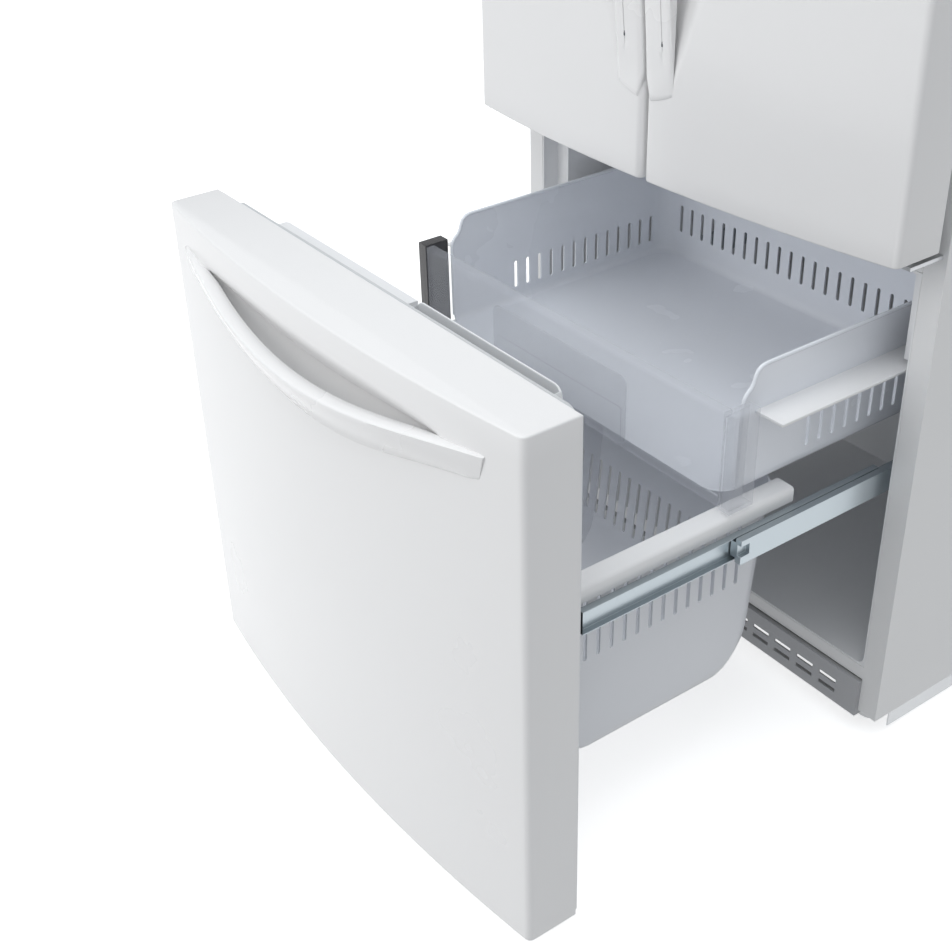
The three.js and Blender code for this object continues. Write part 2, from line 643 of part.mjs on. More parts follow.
function machineSpace() {
  const side = [
    [machine.y, 0], [machine.y, machine.z], [machine.y + 110, machine.top],
    [cabinetRear + 5, machine.top], [cabinetRear + 5, 0],
  ];
  return prismX(side, -half, half);
}

function addCabinet() {
  const front = sealGap + sheet;
  const shell = box(-half, half, sealGap, cabinetRear, 40, cabinetTop);
  const hollow = box(-half + sheet, half - sheet, front, cabinetRear + 1, 30, cabinetTop - sheet);
  const window = box(-opening, opening, 0, front + 1, freezerFloor - wall - fit, cabinetTop - flange);
  const baseWindow = box(-opening, opening, 0, front + 1, 30, foamBottom);
  add(cabinet, "cabinet_case", cut(shell, hollow, window, baseWindow), whiteEnamel);

  const foamHalf = half - sheet - fit;
  const linerFront = sealGap + 0.2;
  const foam = box(-foamHalf, foamHalf, front + fit, foamRear, foamBottom, cabinetTop - sheet - fit);
  const railSpace = box(-opening, opening, 0, 60 + fit, freezerCeiling + wall, freshFoodFloor - wall);
  const spaces = [freezerSpace(wall + fit, 0), freshFoodSpace(wall + fit, 0), machineSpace(), railSpace];
  add(cabinet, "insulation_foam", cut(foam, ...spaces), insulation);

  const guideRear = freezerRear.y - 40;
  const guides = sides.map(({ sign }) =>
    sideBox(sign, trayFlange.reach - 14, lowerHalf + 1, mouthDepth + 4, guideRear, guideTop - 9, guideTop));
  const freezerLiner = cut(freezerSpace(wall, linerFront), freezerSpace(0, 0));
  add(cabinet, "freezer_liner", join(freezerLiner, ...guides), whitePlastic);

  const ribs = [crisperCoverZ, ...shelfHeights].flatMap((z) => sides.map(({ sign }) =>
    sideBox(sign, lowerHalf - 10, lowerHalf + 1, shelfFront, shelfRear, z - 8, z - fit)));
  const freshLiner = cut(freshFoodSpace(wall, linerFront), freshFoodSpace(0, 0));
  add(cabinet, "fresh_food_liner", join(freshLiner, ...ribs), whitePlastic);

  const railBottom = freezerCeiling + wall + fit;
  const railTop = freshFoodFloor - wall - fit;
  const rail = box(-opening + fit, opening - fit, sealGap, 60, railBottom, railTop);
  add(cabinet, "centre_front_rail", rail, whiteEnamel);
  const panel = box(-foamHalf, foamHalf, foamRear + fit, foamRear + 2, machine.top + 12, cabinetTop - 3);
  add(cabinet, "back_panel", panel, bareSteel);

  const cover = box(-foamHalf, foamHalf, cabinetRear - 6, cabinetRear - 4, 62, machine.top + 8);
  const louvres = [];
  for (let z = 110; z <= 270; z += 20) {
    for (const x of [-230, 0, 230]) louvres.push(box(x - 85, x + 85, cabinetRear - 8, cabinetRear, z, z + 8));
  }
  add(cabinet, "machine_compartment_cover", cut(cover, ...louvres), bareSteel);
}

// ---------- shelves, crispers and lamp ----------
const crisper = { front: shelfFront + 2, rear: shelfRear - 16, bottom: 800, top: 985 };

function addFreshFoodFittings() {
  const shelf = () => box(-lowerHalf + 1.5, lowerHalf - 1.5, shelfFront, shelfRear, 0, 5);
  add(cabinet, "crisper_cover_shelf", shelf(), shelfGlass, [0, 0, crisperCoverZ]);
  add(cabinet, "glass_shelf_lower", shelf(), shelfGlass, [0, 0, shelfHeights[0]]);
  add(cabinet, "glass_shelf_upper", shelf(), shelfGlass, [0, 0, shelfHeights[1]]);
  for (const { name, sign } of sides) {
    const body = sideBox(sign, 6, lowerHalf - 12, crisper.front, crisper.rear, crisper.bottom, crisper.top);
    const hollow = sideBox(sign, 6 + wall, lowerHalf - 12 - wall, crisper.front + wall, crisper.rear - wall,
      crisper.bottom + wall, crisper.top + 1);
    add(cabinet, "crisper_" + name, cut(body, hollow), clearPlastic);
  }
  const lampTop = linerTop - wall - fit;
  const housing = box(-140, 140, 180, 330, lampTop - 22, lampTop);
  const lampSpace = box(-120, 120, 200, 310, lampTop - 30, lampTop - 19);
  add(cabinet, "light_housing", cut(housing, lampSpace), clearPlastic);
}

// ---------- cold side behind the freezer ----------
const evaporatorCover = { y: freezerRear.y - 65, thick: 3, bottom: 395, top: 655 };
const fanCentre = { x: 0, z: 560, radius: 50 };

// A finned coil: a slab with narrow gaps cut from above.
function finned(x0, x1, y0, y1, z0, z1, pitch, gap) {
  const gaps = [];
  for (let x = x0 + pitch; x < x1 - 2; x += pitch) {
    gaps.push(box(x, x + gap, y0 - 1, y1 + 1, z0 + 12, z1 + 1));
  }
  return cut(box(x0, x1, y0, y1, z0, z1), ...gaps);
}

const shaft = { radius: 3, reach: 6, bore: 4, gap: 2 };

// A fan: a hub and pitched blades about the Y axis, with a shaft that runs back into its motor.
function fan(radius, blades, depth) {
  const hub = cylinder("y", radius * 0.3, -depth / 2, depth / 2, 0, 0);
  const spindle = cylinder("y", shaft.radius, -depth / 2 - shaft.gap - shaft.reach, 0, 0, 0);
  const vanes = Array.from({ length: blades }, (_, i) => {
    const geometry = new THREE.BoxGeometry(radius * 0.78, 2, radius * 0.55);
    geometry.rotateX(0.6).translate(radius * 0.6, 0, 0).rotateY((2 * Math.PI * i) / blades);
    return solid(geometry);
  });
  return join(hub, spindle, ...vanes);
}

function addColdSide() {
  const { y, thick, bottom, top } = evaporatorCover;
  const plate = box(-upperHalf + 6, upperHalf - 6, y, y + thick, bottom, top);
  const port = cylinder("y", fanCentre.radius + 6, y - 5, y + thick + 5, fanCentre.x, fanCentre.z, 24);
  const outlets = [-240, -120, 120, 240].map((x) =>
    box(x - 35, x + 35, y - 1, y + thick + 1, top - 40, top - 26));
  const barReach = fanCentre.radius + 8;
  const bars = box(-barReach, barReach, y, y + thick, fanCentre.z - 3, fanCentre.z + 3);
  const motor = cylinder("y", 12, y - 4, y + 10, fanCentre.x, fanCentre.z);
  const bore = cylinder("y", shaft.bore, y + 10 - shaft.reach - 2, y + 11, fanCentre.x, fanCentre.z);
  const cover = cut(join(cut(plate, port, ...outlets), bars, motor), bore);
  add(cabinet, "evaporator_cover", cover, whitePlastic);
  add(cabinet, "evaporator", finned(-230, 230, y + 26, freezerRear.y - 4, 400, 500, 23, 12), finStock);
  const fanDepth = 14;
  const fanY = y + 10 + shaft.gap + fanDepth / 2;
  const hub = [fanCentre.x, fanY, fanCentre.z];
  add(cabinet, "evaporator_fan", fan(fanCentre.radius, 5, fanDepth), greyPlastic, hub);
}

// ---------- machine compartment, base and feet ----------
const panTop = 60;
const machineMid = machine.y + 110;
const compressor = { x: -200, y: machineMid, radius: 82, height: 175 };
const condenserFan = { x: 66, y: machineMid - 2, z: 160, radius: 72, depth: 30 };
const roller = { x: half - 16, y: cabinetRear - 68, wide: 14 };
const leg = { x: 330, y: 70, radius: 20 };

function addMachineSide() {
  const { x, y, radius, height } = compressor;
  const profile = [
    [0, panTop + fit], [radius * 0.7, panTop + fit], [radius, panTop + 22], [radius, panTop + height * 0.62],
    [radius * 0.86, panTop + height * 0.84], [radius * 0.5, panTop + height * 0.97], [0, panTop + height],
  ];
  const service = cylinder("z", 7, panTop + height - 20, panTop + height + 18, x + 30, y);
  add(cabinet, "compressor", join(turned(profile, x, y), service), blackPaint);
  const coil = finned(120, 330, machineMid - 80, machineMid + 80, panTop + fit, 245, 15, 8);
  add(cabinet, "condenser", coil, blackPaint);
  const motorEnd = condenserFan.x - condenserFan.depth / 2 - shaft.gap;
  const post = { x0: condenserFan.x - 56, x1: condenserFan.x - 50, wide: 14 };
  const [y0, y1] = [condenserFan.y - 80, condenserFan.y + 80];
  const z1 = condenserFan.z + 7;
  const motor = join(
    cylinder("x", 18, motorEnd - 40, motorEnd, condenserFan.y, condenserFan.z),
    box(post.x0, post.x1, y0, y1, z1 - post.wide, z1),
    box(post.x0, post.x1, y0, y0 + post.wide, panTop + fit, z1),
    box(post.x0, post.x1, y1 - post.wide, y1, panTop + fit, z1),
  );
  const boreEnd = motorEnd - shaft.reach - 2;
  const bore = cylinder("x", shaft.bore, boreEnd, motorEnd + 1, condenserFan.y, condenserFan.z);
  add(cabinet, "condenser_fan_motor", cut(motor, bore), greyPlastic);
  const blades = new THREE.Group();
  blades.position.set(condenserFan.x, condenserFan.y, condenserFan.z);
  blades.rotation.z = -Math.PI / 2;
  cabinet.add(blades);
  add(blades, "condenser_fan", fan(condenserFan.radius, 4, condenserFan.depth), greyPlastic);
  const pan = box(-100, -10, machineMid - 70, machineMid + 90, panTop + fit, panTop + 32);
  const dish = box(-97, -13, machineMid - 67, machineMid + 87, panTop + 3, panTop + 40);
  add(cabinet, "drain_pan", cut(pan, dish), greyPlastic);
}

function addBase() {
  const panHalf = half - sheet - fit;
  const cheek = roller.x - roller.wide / 2 - 2;
  const rails = sides.flatMap(({ sign }) => [
    sideBox(sign, panHalf - 2.5, panHalf, 50, cabinetRear - 8, 14, panTop),
    sideBox(sign, cheek - 3, cheek, roller.y - 30, roller.y + 30, 14, panTop),
    cylinder("x", 4, Math.min(sign * (roller.x - 10), sign * (panHalf - 1)),
      Math.max(sign * (roller.x - 10), sign * (panHalf - 1)), roller.y, rollerRadius),
  ]);
  const pan = box(-panHalf, panHalf, 50, cabinetRear - 8, panTop - 2.5, panTop);
  add(cabinet, "base_pan", join(pan, ...rails), bareSteel);

  const grille = box(-opening, opening, 12, 34, 32, 92);
  const hollow = box(-opening + 3, opening - 3, 15, 40, 35, 89);
  const vents = [];
  for (let x = -opening + 40; x < opening - 60; x += 42) {
    for (const z of [48, 64]) vents.push(box(x, x + 30, 0, 20, z, z + 6));
  }
  add(cabinet, "base_grille", cut(grille, hollow, ...vents), greyPlastic);

  for (const { name, sign } of sides) {
    const stemTop = panTop - 2.5 - fit;
    const foot = [[0, 0], [leg.radius, 0], [leg.radius, 8], [7, 12], [7, stemTop], [0, stemTop]];
    add(cabinet, "levelling_leg_" + name, turned(foot, 0, 0, 16), bareSteel, [sign * leg.x, leg.y, 0]);
    const wheel = cut(
      cylinder("x", rollerRadius, -roller.wide / 2, roller.wide / 2, 0, 0, 28),
      cylinder("x", 4.7, -roller.wide, roller.wide, 0, 0, 20),
    );
    add(cabinet, "rear_roller_" + name, wheel, darkRubber, [sign * roller.x, roller.y, rollerRadius]);
  }
}

addCabinet();
addFreshFoodFittings();
addColdSide();
addMachineSide();
addBase();
addSlides();
addDrawerFront();
addDrawerLiner();
addBasket();
addTray();
sides.forEach(addDoor);
addMullion();
sides.forEach(addHinges);

// The whole part is centred front to back with the drawer out.
const foremost = frontY(0) - handleStand - drawerTravel;
refrigerator.position.y = -(foremost + cabinetRear) / 2;

export default refrigerator;
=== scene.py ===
import math

import bmesh
import bpy
from mathutils import Matrix, Vector


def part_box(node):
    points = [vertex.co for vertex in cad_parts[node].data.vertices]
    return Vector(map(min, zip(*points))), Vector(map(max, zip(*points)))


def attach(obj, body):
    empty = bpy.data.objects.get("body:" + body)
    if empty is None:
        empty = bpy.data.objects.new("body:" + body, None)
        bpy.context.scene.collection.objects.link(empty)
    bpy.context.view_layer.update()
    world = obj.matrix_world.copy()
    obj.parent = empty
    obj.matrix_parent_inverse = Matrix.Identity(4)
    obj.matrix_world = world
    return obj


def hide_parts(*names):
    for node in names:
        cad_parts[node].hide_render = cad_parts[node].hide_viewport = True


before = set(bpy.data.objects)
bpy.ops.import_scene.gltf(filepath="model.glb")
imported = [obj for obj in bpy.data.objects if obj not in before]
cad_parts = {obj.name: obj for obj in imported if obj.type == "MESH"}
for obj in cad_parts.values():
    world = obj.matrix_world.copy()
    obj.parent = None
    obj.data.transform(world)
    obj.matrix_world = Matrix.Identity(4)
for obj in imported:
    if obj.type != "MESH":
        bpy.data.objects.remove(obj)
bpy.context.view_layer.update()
scene = bpy.context.scene

# ---- Camera, light and floor ----
# A refrigerator with its freezer drawer drawn out, seen from in front of its right side and from above.
# A broad soft light stands in front, a weaker one hangs overhead, and the floor and walls are plain and pale.
front_lo, front_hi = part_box("drawer_front")
eye = Vector((1.2501, front_hi.y - 0.7284, front_hi.z + 0.6683))
to_right = Vector((0.566254, 0.823214, -0.040920))
to_down = Vector((0.404424, -0.320760, -0.856478))
to_back = Vector((0.718191, -0.468435, 0.514559))

camera_data = bpy.data.cameras.new("camera")
camera_data.lens = 52.98
camera_data.sensor_width = 36.0
camera_data.shift_x = 0.0378
camera_data.shift_y = -0.0483
camera_data.clip_end = 40.0
camera = bpy.data.objects.new("camera", camera_data)
scene.collection.objects.link(camera)
camera.matrix_world = Matrix((
    (to_right.x, -to_down.x, to_back.x, eye.x),
    (to_right.y, -to_down.y, to_back.y, eye.y),
    (to_right.z, -to_down.z, to_back.z, eye.z),
    (0, 0, 0, 1),
))
scene.camera = camera
scene.view_settings.view_transform = "Standard"


def soft_light(name, place, aim, size, watts, tint=(1.0, 1.0, 1.0)):
    data = bpy.data.lights.new(name, "AREA")
    data.shape = "SQUARE"
    data.size = size
    data.energy = watts
    data.color = tint
    lamp = bpy.data.objects.new(name, data)
    scene.collection.objects.link(lamp)
    lamp.location = place
    lamp.rotation_euler = (Vector(aim) - Vector(place)).to_track_quat("-Z", "Y").to_euler()


soft_light("front_light", (-1.4, -4.6, 2.6), (0.0, -0.3, 0.7), 3.2, 72, (1.0, 0.995, 0.985))
soft_light("overhead_light", (0.3, -1.4, 4.4), (0.0, -0.3, 0.6), 3.4, 58, (0.95, 0.98, 1.0))

world = bpy.data.worlds.new("pale_room")
scene.world = world
world.use_nodes = True
sky_nodes, sky_links = world.node_tree.nodes, world.node_tree.links
sky_where = sky_nodes.new("ShaderNodeTexCoord")
sky_split = sky_nodes.new("ShaderNodeSeparateXYZ")
sky_tone = sky_nodes.new("ShaderNodeMapRange")
sky_tone.inputs["From Min"].default_value = -1.0
sky_tone.inputs["From Max"].default_value = 1.0
sky_tone.inputs["To Min"].default_value = 0.22
sky_tone.inputs["To Max"].default_value = 0.78
sky_links.new(sky_where.outputs["Generated"], sky_split.inputs["Vector"])
sky_links.new(sky_split.outputs["Z"], sky_tone.inputs["Value"])
sky_links.new(sky_tone.outputs["Result"], sky_nodes["Background"].inputs["Strength"])
sky_nodes["Background"].inputs["Color"].default_value = (0.95, 0.975, 1.0, 1.0)

floor_mesh = bpy.data.meshes.new("floor")
reach = 14.0
floor_mesh.from_pydata([(-reach, -reach, 0), (reach, -reach, 0), (reach, reach, 0), (-reach, reach, 0)], [],
                       [(0, 1, 2, 3)])
floor = bpy.data.objects.new("floor", floor_mesh)
scene.collection.objects.link(floor)
floor_paint = bpy.data.materials.new("floor_paint")
floor_paint.use_nodes = True
floor_shader = floor_paint.node_tree.nodes["Principled BSDF"]
floor_shader.inputs["Base Color"].default_value = (0.93, 0.93, 0.93, 1)
floor_shader.inputs["Roughness"].default_value = 0.9
floor_shader.inputs["Emission Color"].default_value = (1, 1, 1, 1)
floor_shader.inputs["Emission Strength"].default_value = 0.6
floor_mesh.materials.append(floor_paint)
floor.visible_diffuse = False

# ---- Freezer drawer front ----
# A bowed front pressed from steel sheet and stove enamelled white, a shallow finger scoop under its top edge.
# Its long sides and its top are turned back over a foamed core, and every edge has a small round.


def finish(name, colour, roughness, grain=700.0, relief=0.00004, mottle=0.02, metallic=0.0, coat=0.0,
           alpha=1.0, stretch=(1.0, 1.0, 1.0), specular=0.5):
    """A surface with fine relief and faintly uneven colour and gloss, laid out in the object's own metres."""
    material = bpy.data.materials.new(name)
    material.use_nodes = True
    nodes, links = material.node_tree.nodes, material.node_tree.links
    shader = nodes["Principled BSDF"]
    shader.inputs["Metallic"].default_value = metallic
    shader.inputs["Coat Weight"].default_value = coat
    shader.inputs["Coat Roughness"].default_value = 0.08
    shader.inputs["Alpha"].default_value = alpha
    shader.inputs["Specular IOR Level"].default_value = specular
    where = nodes.new("ShaderNodeTexCoord")
    lay = nodes.new("ShaderNodeMapping")
    lay.inputs["Scale"].default_value = stretch
    links.new(where.outputs["Object"], lay.inputs["Vector"])
    fine = nodes.new("ShaderNodeTexNoise")
    fine.inputs["Scale"].default_value = grain
    fine.inputs["Detail"].default_value = 2.0
    broad = nodes.new("ShaderNodeTexNoise")
    broad.inputs["Scale"].default_value = 5.0
    broad.inputs["Detail"].default_value = 4.0
    links.new(lay.outputs["Vector"], fine.inputs["Vector"])
    links.new(lay.outputs["Vector"], broad.inputs["Vector"])
    relief_node = nodes.new("ShaderNodeBump")
    relief_node.inputs["Strength"].default_value = 0.6
    relief_node.inputs["Distance"].default_value = relief
    links.new(fine.outputs["Fac"], relief_node.inputs["Height"])
    links.new(relief_node.outputs["Normal"], shader.inputs["Normal"])
    tint = nodes.new("ShaderNodeMix")
    tint.data_type = "RGBA"
    tint.inputs["A"].default_value = (*[c * (1 - mottle) for c in colour], 1)
    tint.inputs["B"].default_value = (*[min(1.0, c * (1 + mottle)) for c in colour], 1)
    links.new(broad.outputs["Fac"], tint.inputs["Factor"])
    links.new(tint.outputs["Result"], shader.inputs["Base Color"])
    gloss = nodes.new("ShaderNodeMapRange")
    gloss.inputs["From Min"].default_value = 0.2
    gloss.inputs["From Max"].default_value = 0.8
    gloss.inputs["To Min"].default_value = roughness * 0.85
    gloss.inputs["To Max"].default_value = min(1.0, roughness * 1.15)
    links.new(broad.outputs["Fac"], gloss.inputs["Value"])
    links.new(gloss.outputs["Result"], shader.inputs["Roughness"])
    return material


white_enamel = finish("white_enamel", (0.83, 0.825, 0.825), 0.3, grain=160, relief=0.000012, mottle=0.006,
                      coat=0.25)


def new_piece(name, corners, faces):
    """A mesh object at the origin, its double corners merged and its faces turned outwards."""
    mesh = bpy.data.meshes.new(name)
    mesh.from_pydata([tuple(c) for c in corners], [], faces)
    shape = bmesh.new()
    shape.from_mesh(mesh)
    bmesh.ops.remove_doubles(shape, verts=shape.verts, dist=2e-6)
    bmesh.ops.recalc_face_normals(shape, faces=shape.faces)
    shape.to_mesh(mesh)
    shape.free()
    piece = bpy.data.objects.new(name, mesh)
    scene.collection.objects.link(piece)
    return piece


def lofted(name, rings, closed=False):
    """A skin over closed rings of equally many points, its ends filled unless it goes full circle."""
    count = len(rings[0])
    corners = [point for ring in rings for point in ring]
    turns = len(rings) if closed else len(rings) - 1
    faces = []
    for r in range(turns):
        near, far = r * count, ((r + 1) % len(rings)) * count
        for i in range(count):
            j = (i + 1) % count
            faces.append((near + i, near + j, far + j, far + i))
    if not closed:
        faces.append(tuple(range(count)))
        faces.append(tuple(range((len(rings) - 1) * count, len(rings) * count)))
    return new_piece(name, corners, faces)


def settled(piece):
    """The piece with its modifiers made part of its mesh."""
    shape = bpy.data.meshes.new_from_object(piece.evaluated_get(bpy.context.evaluated_depsgraph_get()))
    piece.modifiers.clear()
    piece.data = shape
    return piece


def smoothed(piece, angle=35.0):
    piece.data.shade_smooth()
    piece.data.set_sharp_from_angle(angle=math.radians(angle))
    return piece


def placed(piece, material, slot, body, *nodes):
    """Gives a piece its finish, and has it ride on its body in place of the CAD nodes it stands for."""
    piece.data.materials.clear()
    piece.data.materials.append(material)
    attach(piece, body)
    if nodes:
        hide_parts(*nodes)
    return piece


half_width = 0.378
edge_depth = 0.069
bow = 0.028
corner_round = 0.009
edge_round = 0.0025


def front_y(x):
    return -(edge_depth + bow * (1 - (x / half_width) ** 2))


def corner_arc(x_edge, side, inset, steps=6):
    """Points from the side plane round to the bowed face, at the edge x_edge; side is -1 left, 1 right."""
    round_now = corner_round - inset
    centre_x = x_edge - side * (inset + round_now)
    slope = 2 * bow * centre_x / half_width ** 2
    length = math.hypot(slope, 1.0)
    normal = (slope / length, -1.0 / length)
    touch_x = centre_x + round_now * normal[0]
    centre_y = front_y(touch_x) + inset - round_now * normal[1]
    start = math.pi if side < 0 else 0.0
    end = math.atan2(normal[1], normal[0])
    end = end + 2 * math.pi if side < 0 else end
    angles = [start + (end - start) * i / steps for i in range(steps + 1)]
    return [(centre_x + round_now * math.cos(a), centre_y + round_now * math.sin(a)) for a in angles]


def front_outline(x0, x1, inset, samples):
    left = corner_arc(x0, -1, inset)
    right = corner_arc(x1, 1, inset)[::-1]
    xs = [left[-1][0] + (right[0][0] - left[-1][0]) * i / samples for i in range(1, samples)]
    face = [(x, front_y(x) + inset) for x in xs]
    return [(x0 + inset, 0.0), *left, *face, *right, (x1 - inset, 0.0)]


def bowed_front(name, x0, x1, z0, z1, back, dent, heights, samples):
    """A door or drawer front standing on z0, its face pushed in by dent(x, z)."""
    levels = [(edge_round * (1 - math.sin(a)), z0 + edge_round * (1 - math.cos(a)))
              for a in [math.pi / 2 * i / 3 for i in range(4)]]
    levels += [(0.0, z) for z in heights]
    levels += [(edge_round * (1 - math.cos(a)), z1 - edge_round * (1 - math.sin(a)))
               for a in [math.pi / 2 * i / 3 for i in range(4)]]
    rings = []
    for inset, z in levels:
        outline = front_outline(x0, x1, inset, samples)
        rings.append([(x, back + y + (dent(x, z) if y < -0.03 else 0.0), z) for x, y in outline])
    return smoothed(lofted(name, rings), 40)


def ease(t):
    return math.sin(math.pi / 2 * min(1.0, max(0.0, t))) ** 2


drawer_bottom, drawer_top = front_lo.z, front_hi.z
drawer_zero = front_hi.y
grip_span = 0.325
scoop_span = 0.262


def grip_top(x):
    swell = 1 - (x / grip_span) ** 2
    return drawer_top - 0.0419 - 0.0093 * swell - 0.0232 * swell ** 2


def grip_bottom(x):
    swell = 1 - (x / grip_span) ** 2
    return drawer_top - 0.0731 - 0.0198 * swell - 0.0398 * swell ** 2


def drawer_dent(x, z):
    swell = 1 - (x / scoop_span) ** 2
    if swell <= 0:
        return 0.0
    sill = grip_top(x) - 0.002
    brow = sill + 0.010 + 0.036 * swell
    deep = 0.027 * swell ** 0.75
    if z > brow:
        return 0.0
    if z > sill:
        return deep * ((brow - z) / (brow - sill)) ** 2.2
    return deep * (1 - ease((sill - z) / (0.012 + 0.042 * swell)))


drawer_heights = [drawer_bottom + 0.02, drawer_bottom + 0.2, drawer_bottom + 0.4]
drawer_heights += [drawer_top - 0.150 + 0.0022 * i for i in range(56)]
drawer_front = bowed_front("drawer_front_pressing", -half_width, half_width, drawer_bottom, drawer_top,
                           drawer_zero - 0.0002, drawer_dent, drawer_heights, 170)
placed(drawer_front, white_enamel, "white_enamel", "freezer_drawer", "drawer_front")

# ---- Freezer drawer handle ----
# A long leaning strip moulded in white plastic and painted to match, arched down and outwards at its middle.
# Its lower edge lies on the front and its ends die into it, so fingers reach in behind its upper edge.
handle_white = finish("handle_white", (0.85, 0.845, 0.845), 0.26, grain=160, relief=0.00001, mottle=0.005,
                      coat=0.3)


def strip_section(stand, tall, lip, thick=0.0045):
    """Section of a leaning strip: (out from the front, down from its upper edge), upper edge first."""
    foot = 0.0016
    face = []
    for i in range(9):
        t = i / 8
        face.append((foot + (stand - foot) * (1 - t ** 1.5), tall * (0.045 + 0.935 * t)))
    shoulder = [(stand - lip * 0.9, 0.0), (stand - lip * 0.5, -0.0002), (stand - 0.0035, 0.0),
                (stand - 0.0012, 0.0007), (stand - 0.0003, 0.0018)]
    under = [(foot - 0.0006, tall), (-0.0004, tall * 0.985)]
    inner = [(max(-0.0004, (foot + (stand - foot) * (1 - t ** 1.5)) - thick), tall * t)
             for t in [0.93, 0.75, 0.55, 0.35, 0.18]]
    nose = [(stand - lip, 0.0035), (stand - lip - 0.0002, 0.0012)]
    return shoulder + face + under + inner + nose


def drawer_handle():
    rings = []
    stations = 90
    for i in range(stations + 1):
        x = grip_span * (2 * i / stations - 1)
        swell = max(0.0, 1 - (x / grip_span) ** 2)
        stand = 0.0030 + 0.0270 * swell
        lip = min(0.020, stand + 0.0035 * (1 - swell) + 0.0005)
        top = grip_top(x)
        bottom = grip_bottom(x)
        rings.append([(x, drawer_zero + front_y(x) - out, top - down)
                      for out, down in strip_section(stand, top - bottom, lip)])
        slant = 0.009 * ease((abs(x) - 0.30) / (grip_span - 0.30)) * (1 if x > 0 else -1)
        rings[-1] = [(px - slant * (top - pz) / (top - bottom), py, pz) for px, py, pz in rings[-1]]
    for end, sign in ((0, -1), (-1, 1)):
        ring = rings[end]
        middle = sum((Vector(p) for p in ring), Vector()) / len(ring)
        cap = [tuple(middle + (Vector(p) - middle) * 0.93 + Vector((sign * 0.0012, 0.0003, 0))) for p in ring]
        rings.insert(0, cap) if sign < 0 else rings.append(cap)
    return smoothed(lofted("drawer_handle_strip", rings), 50)


placed(drawer_handle(), handle_white, "handle_white", "freezer_drawer", "drawer_handle")

# ---- Drawer liner, its seal and its pocket ----
# The back of the drawer front is vacuum formed in white plastic, its raised dike fitting the freezer's mouth.
# A bellows seal runs round the dike, and an open-topped pocket is let into the dike's right half.
liner_white = finish("liner_white", (0.84, 0.845, 0.855), 0.38, grain=250, relief=0.000015, mottle=0.012)
seal_vinyl = finish("seal_vinyl", (0.62, 0.63, 0.64), 0.6, grain=1300, relief=0.00006, mottle=0.03)
bin_white = finish("bin_white", (0.86, 0.87, 0.885), 0.3, grain=250, relief=0.000015, mottle=0.015)


def eased_copy(name, node, width=0.0012, keep_behind=None, segments=2):
    """A copy of a CAD node, merged, cut off in front of keep_behind, with its edges rounded."""
    shape = bmesh.new()
    shape.from_mesh(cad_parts[node].data)
    bmesh.ops.remove_doubles(shape, verts=shape.verts, dist=5e-6)
    if keep_behind is not None:
        cut = bmesh.ops.bisect_plane(shape, geom=shape.verts[:] + shape.edges[:] + shape.faces[:],
                                     plane_co=(0, keep_behind, 0), plane_no=(0, -1, 0), clear_outer=True)
        rim = [e for e in cut["geom_cut"] if isinstance(e, bmesh.types.BMEdge)]
        bmesh.ops.holes_fill(shape, edges=rim, sides=0)
        bmesh.ops.triangulate(shape, faces=[f for f in shape.faces if len(f.verts) > 4])
    bmesh.ops.dissolve_limit(shape, angle_limit=math.radians(0.6), verts=shape.verts, edges=shape.edges)
    mesh = bpy.data.meshes.new(name)
    shape.to_mesh(mesh)
    shape.free()
    piece = bpy.data.objects.new(name, mesh)
    scene.collection.objects.link(piece)
    if width:
        bevel = piece.modifiers.new("eased_edges", "BEVEL")
        bevel.width = width
        bevel.segments = segments
        bevel.limit_method = "ANGLE"
        bevel.angle_limit = math.radians(32)
        even = piece.modifiers.new("even_faces", "WEIGHTED_NORMAL")
        even.keep_sharp = True
        mesh.shade_smooth()
        settled(piece)
    return smoothed(piece, 40)


def stand_in(name, node, material, slot, body="cabinet", width=0.0012, segments=2, keep_behind=None):
    """An eased copy of a CAD node, finished and put in the node's place."""
    return placed(eased_copy(name, node, width, keep_behind, segments), material, slot, body, node)


stand_in("drawer_inner_liner", "drawer_liner", liner_white, "liner_white", "freezer_drawer", width=0.003,
         segments=3, keep_behind=drawer_zero + 0.0001)
stand_in("drawer_pocket_moulding", "drawer_pocket", bin_white, "bin_plastic", "freezer_drawer", segments=3)


def rounded_rect(a0, a1, b0, b1, radius, steps=5):
    points = []
    for a, b, quarter in ((a1 - radius, b1 - radius, 0), (a0 + radius, b1 - radius, 1),
                          (a0 + radius, b0 + radius, 2), (a1 - radius, b0 + radius, 3)):
        for i in range(steps + 1):
            turn = math.pi / 2 * (quarter + i / steps)
            points.append((a + radius * math.cos(turn), b + radius * math.sin(turn)))
    return points


def bellows_seal(name, node):
    """A soft seal with two folds, as wide as its CAD node and laid round the same rectangle."""
    lo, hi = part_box(node)
    deep = hi.y - lo.y
    lip = 0.013
    outside = [(0, 0), (0, 0.18), (0.0016, 0.30), (0.0002, 0.45), (0.0016, 0.60), (0, 0.72), (0, 1)]
    inside = [(lip, 1.0), (lip, 0.72), (0.0112, 0.6), (0.0128, 0.45), (0.0112, 0.3), (lip, 0.18), (lip, 0.0)]
    rings = []
    for inset, part in outside + inside:
        ring = rounded_rect(lo.x + inset, hi.x - inset, lo.z + inset, hi.z - inset, 0.016 - inset * 0.9, 4)
        rings.append([(x, lo.y + deep * part, z) for x, z in ring])
    return smoothed(lofted(name, rings, closed=True), 50)


placed(bellows_seal("drawer_bellows_seal", "drawer_gasket"), seal_vinyl, "seal_vinyl", "freezer_drawer",
       "drawer_gasket")

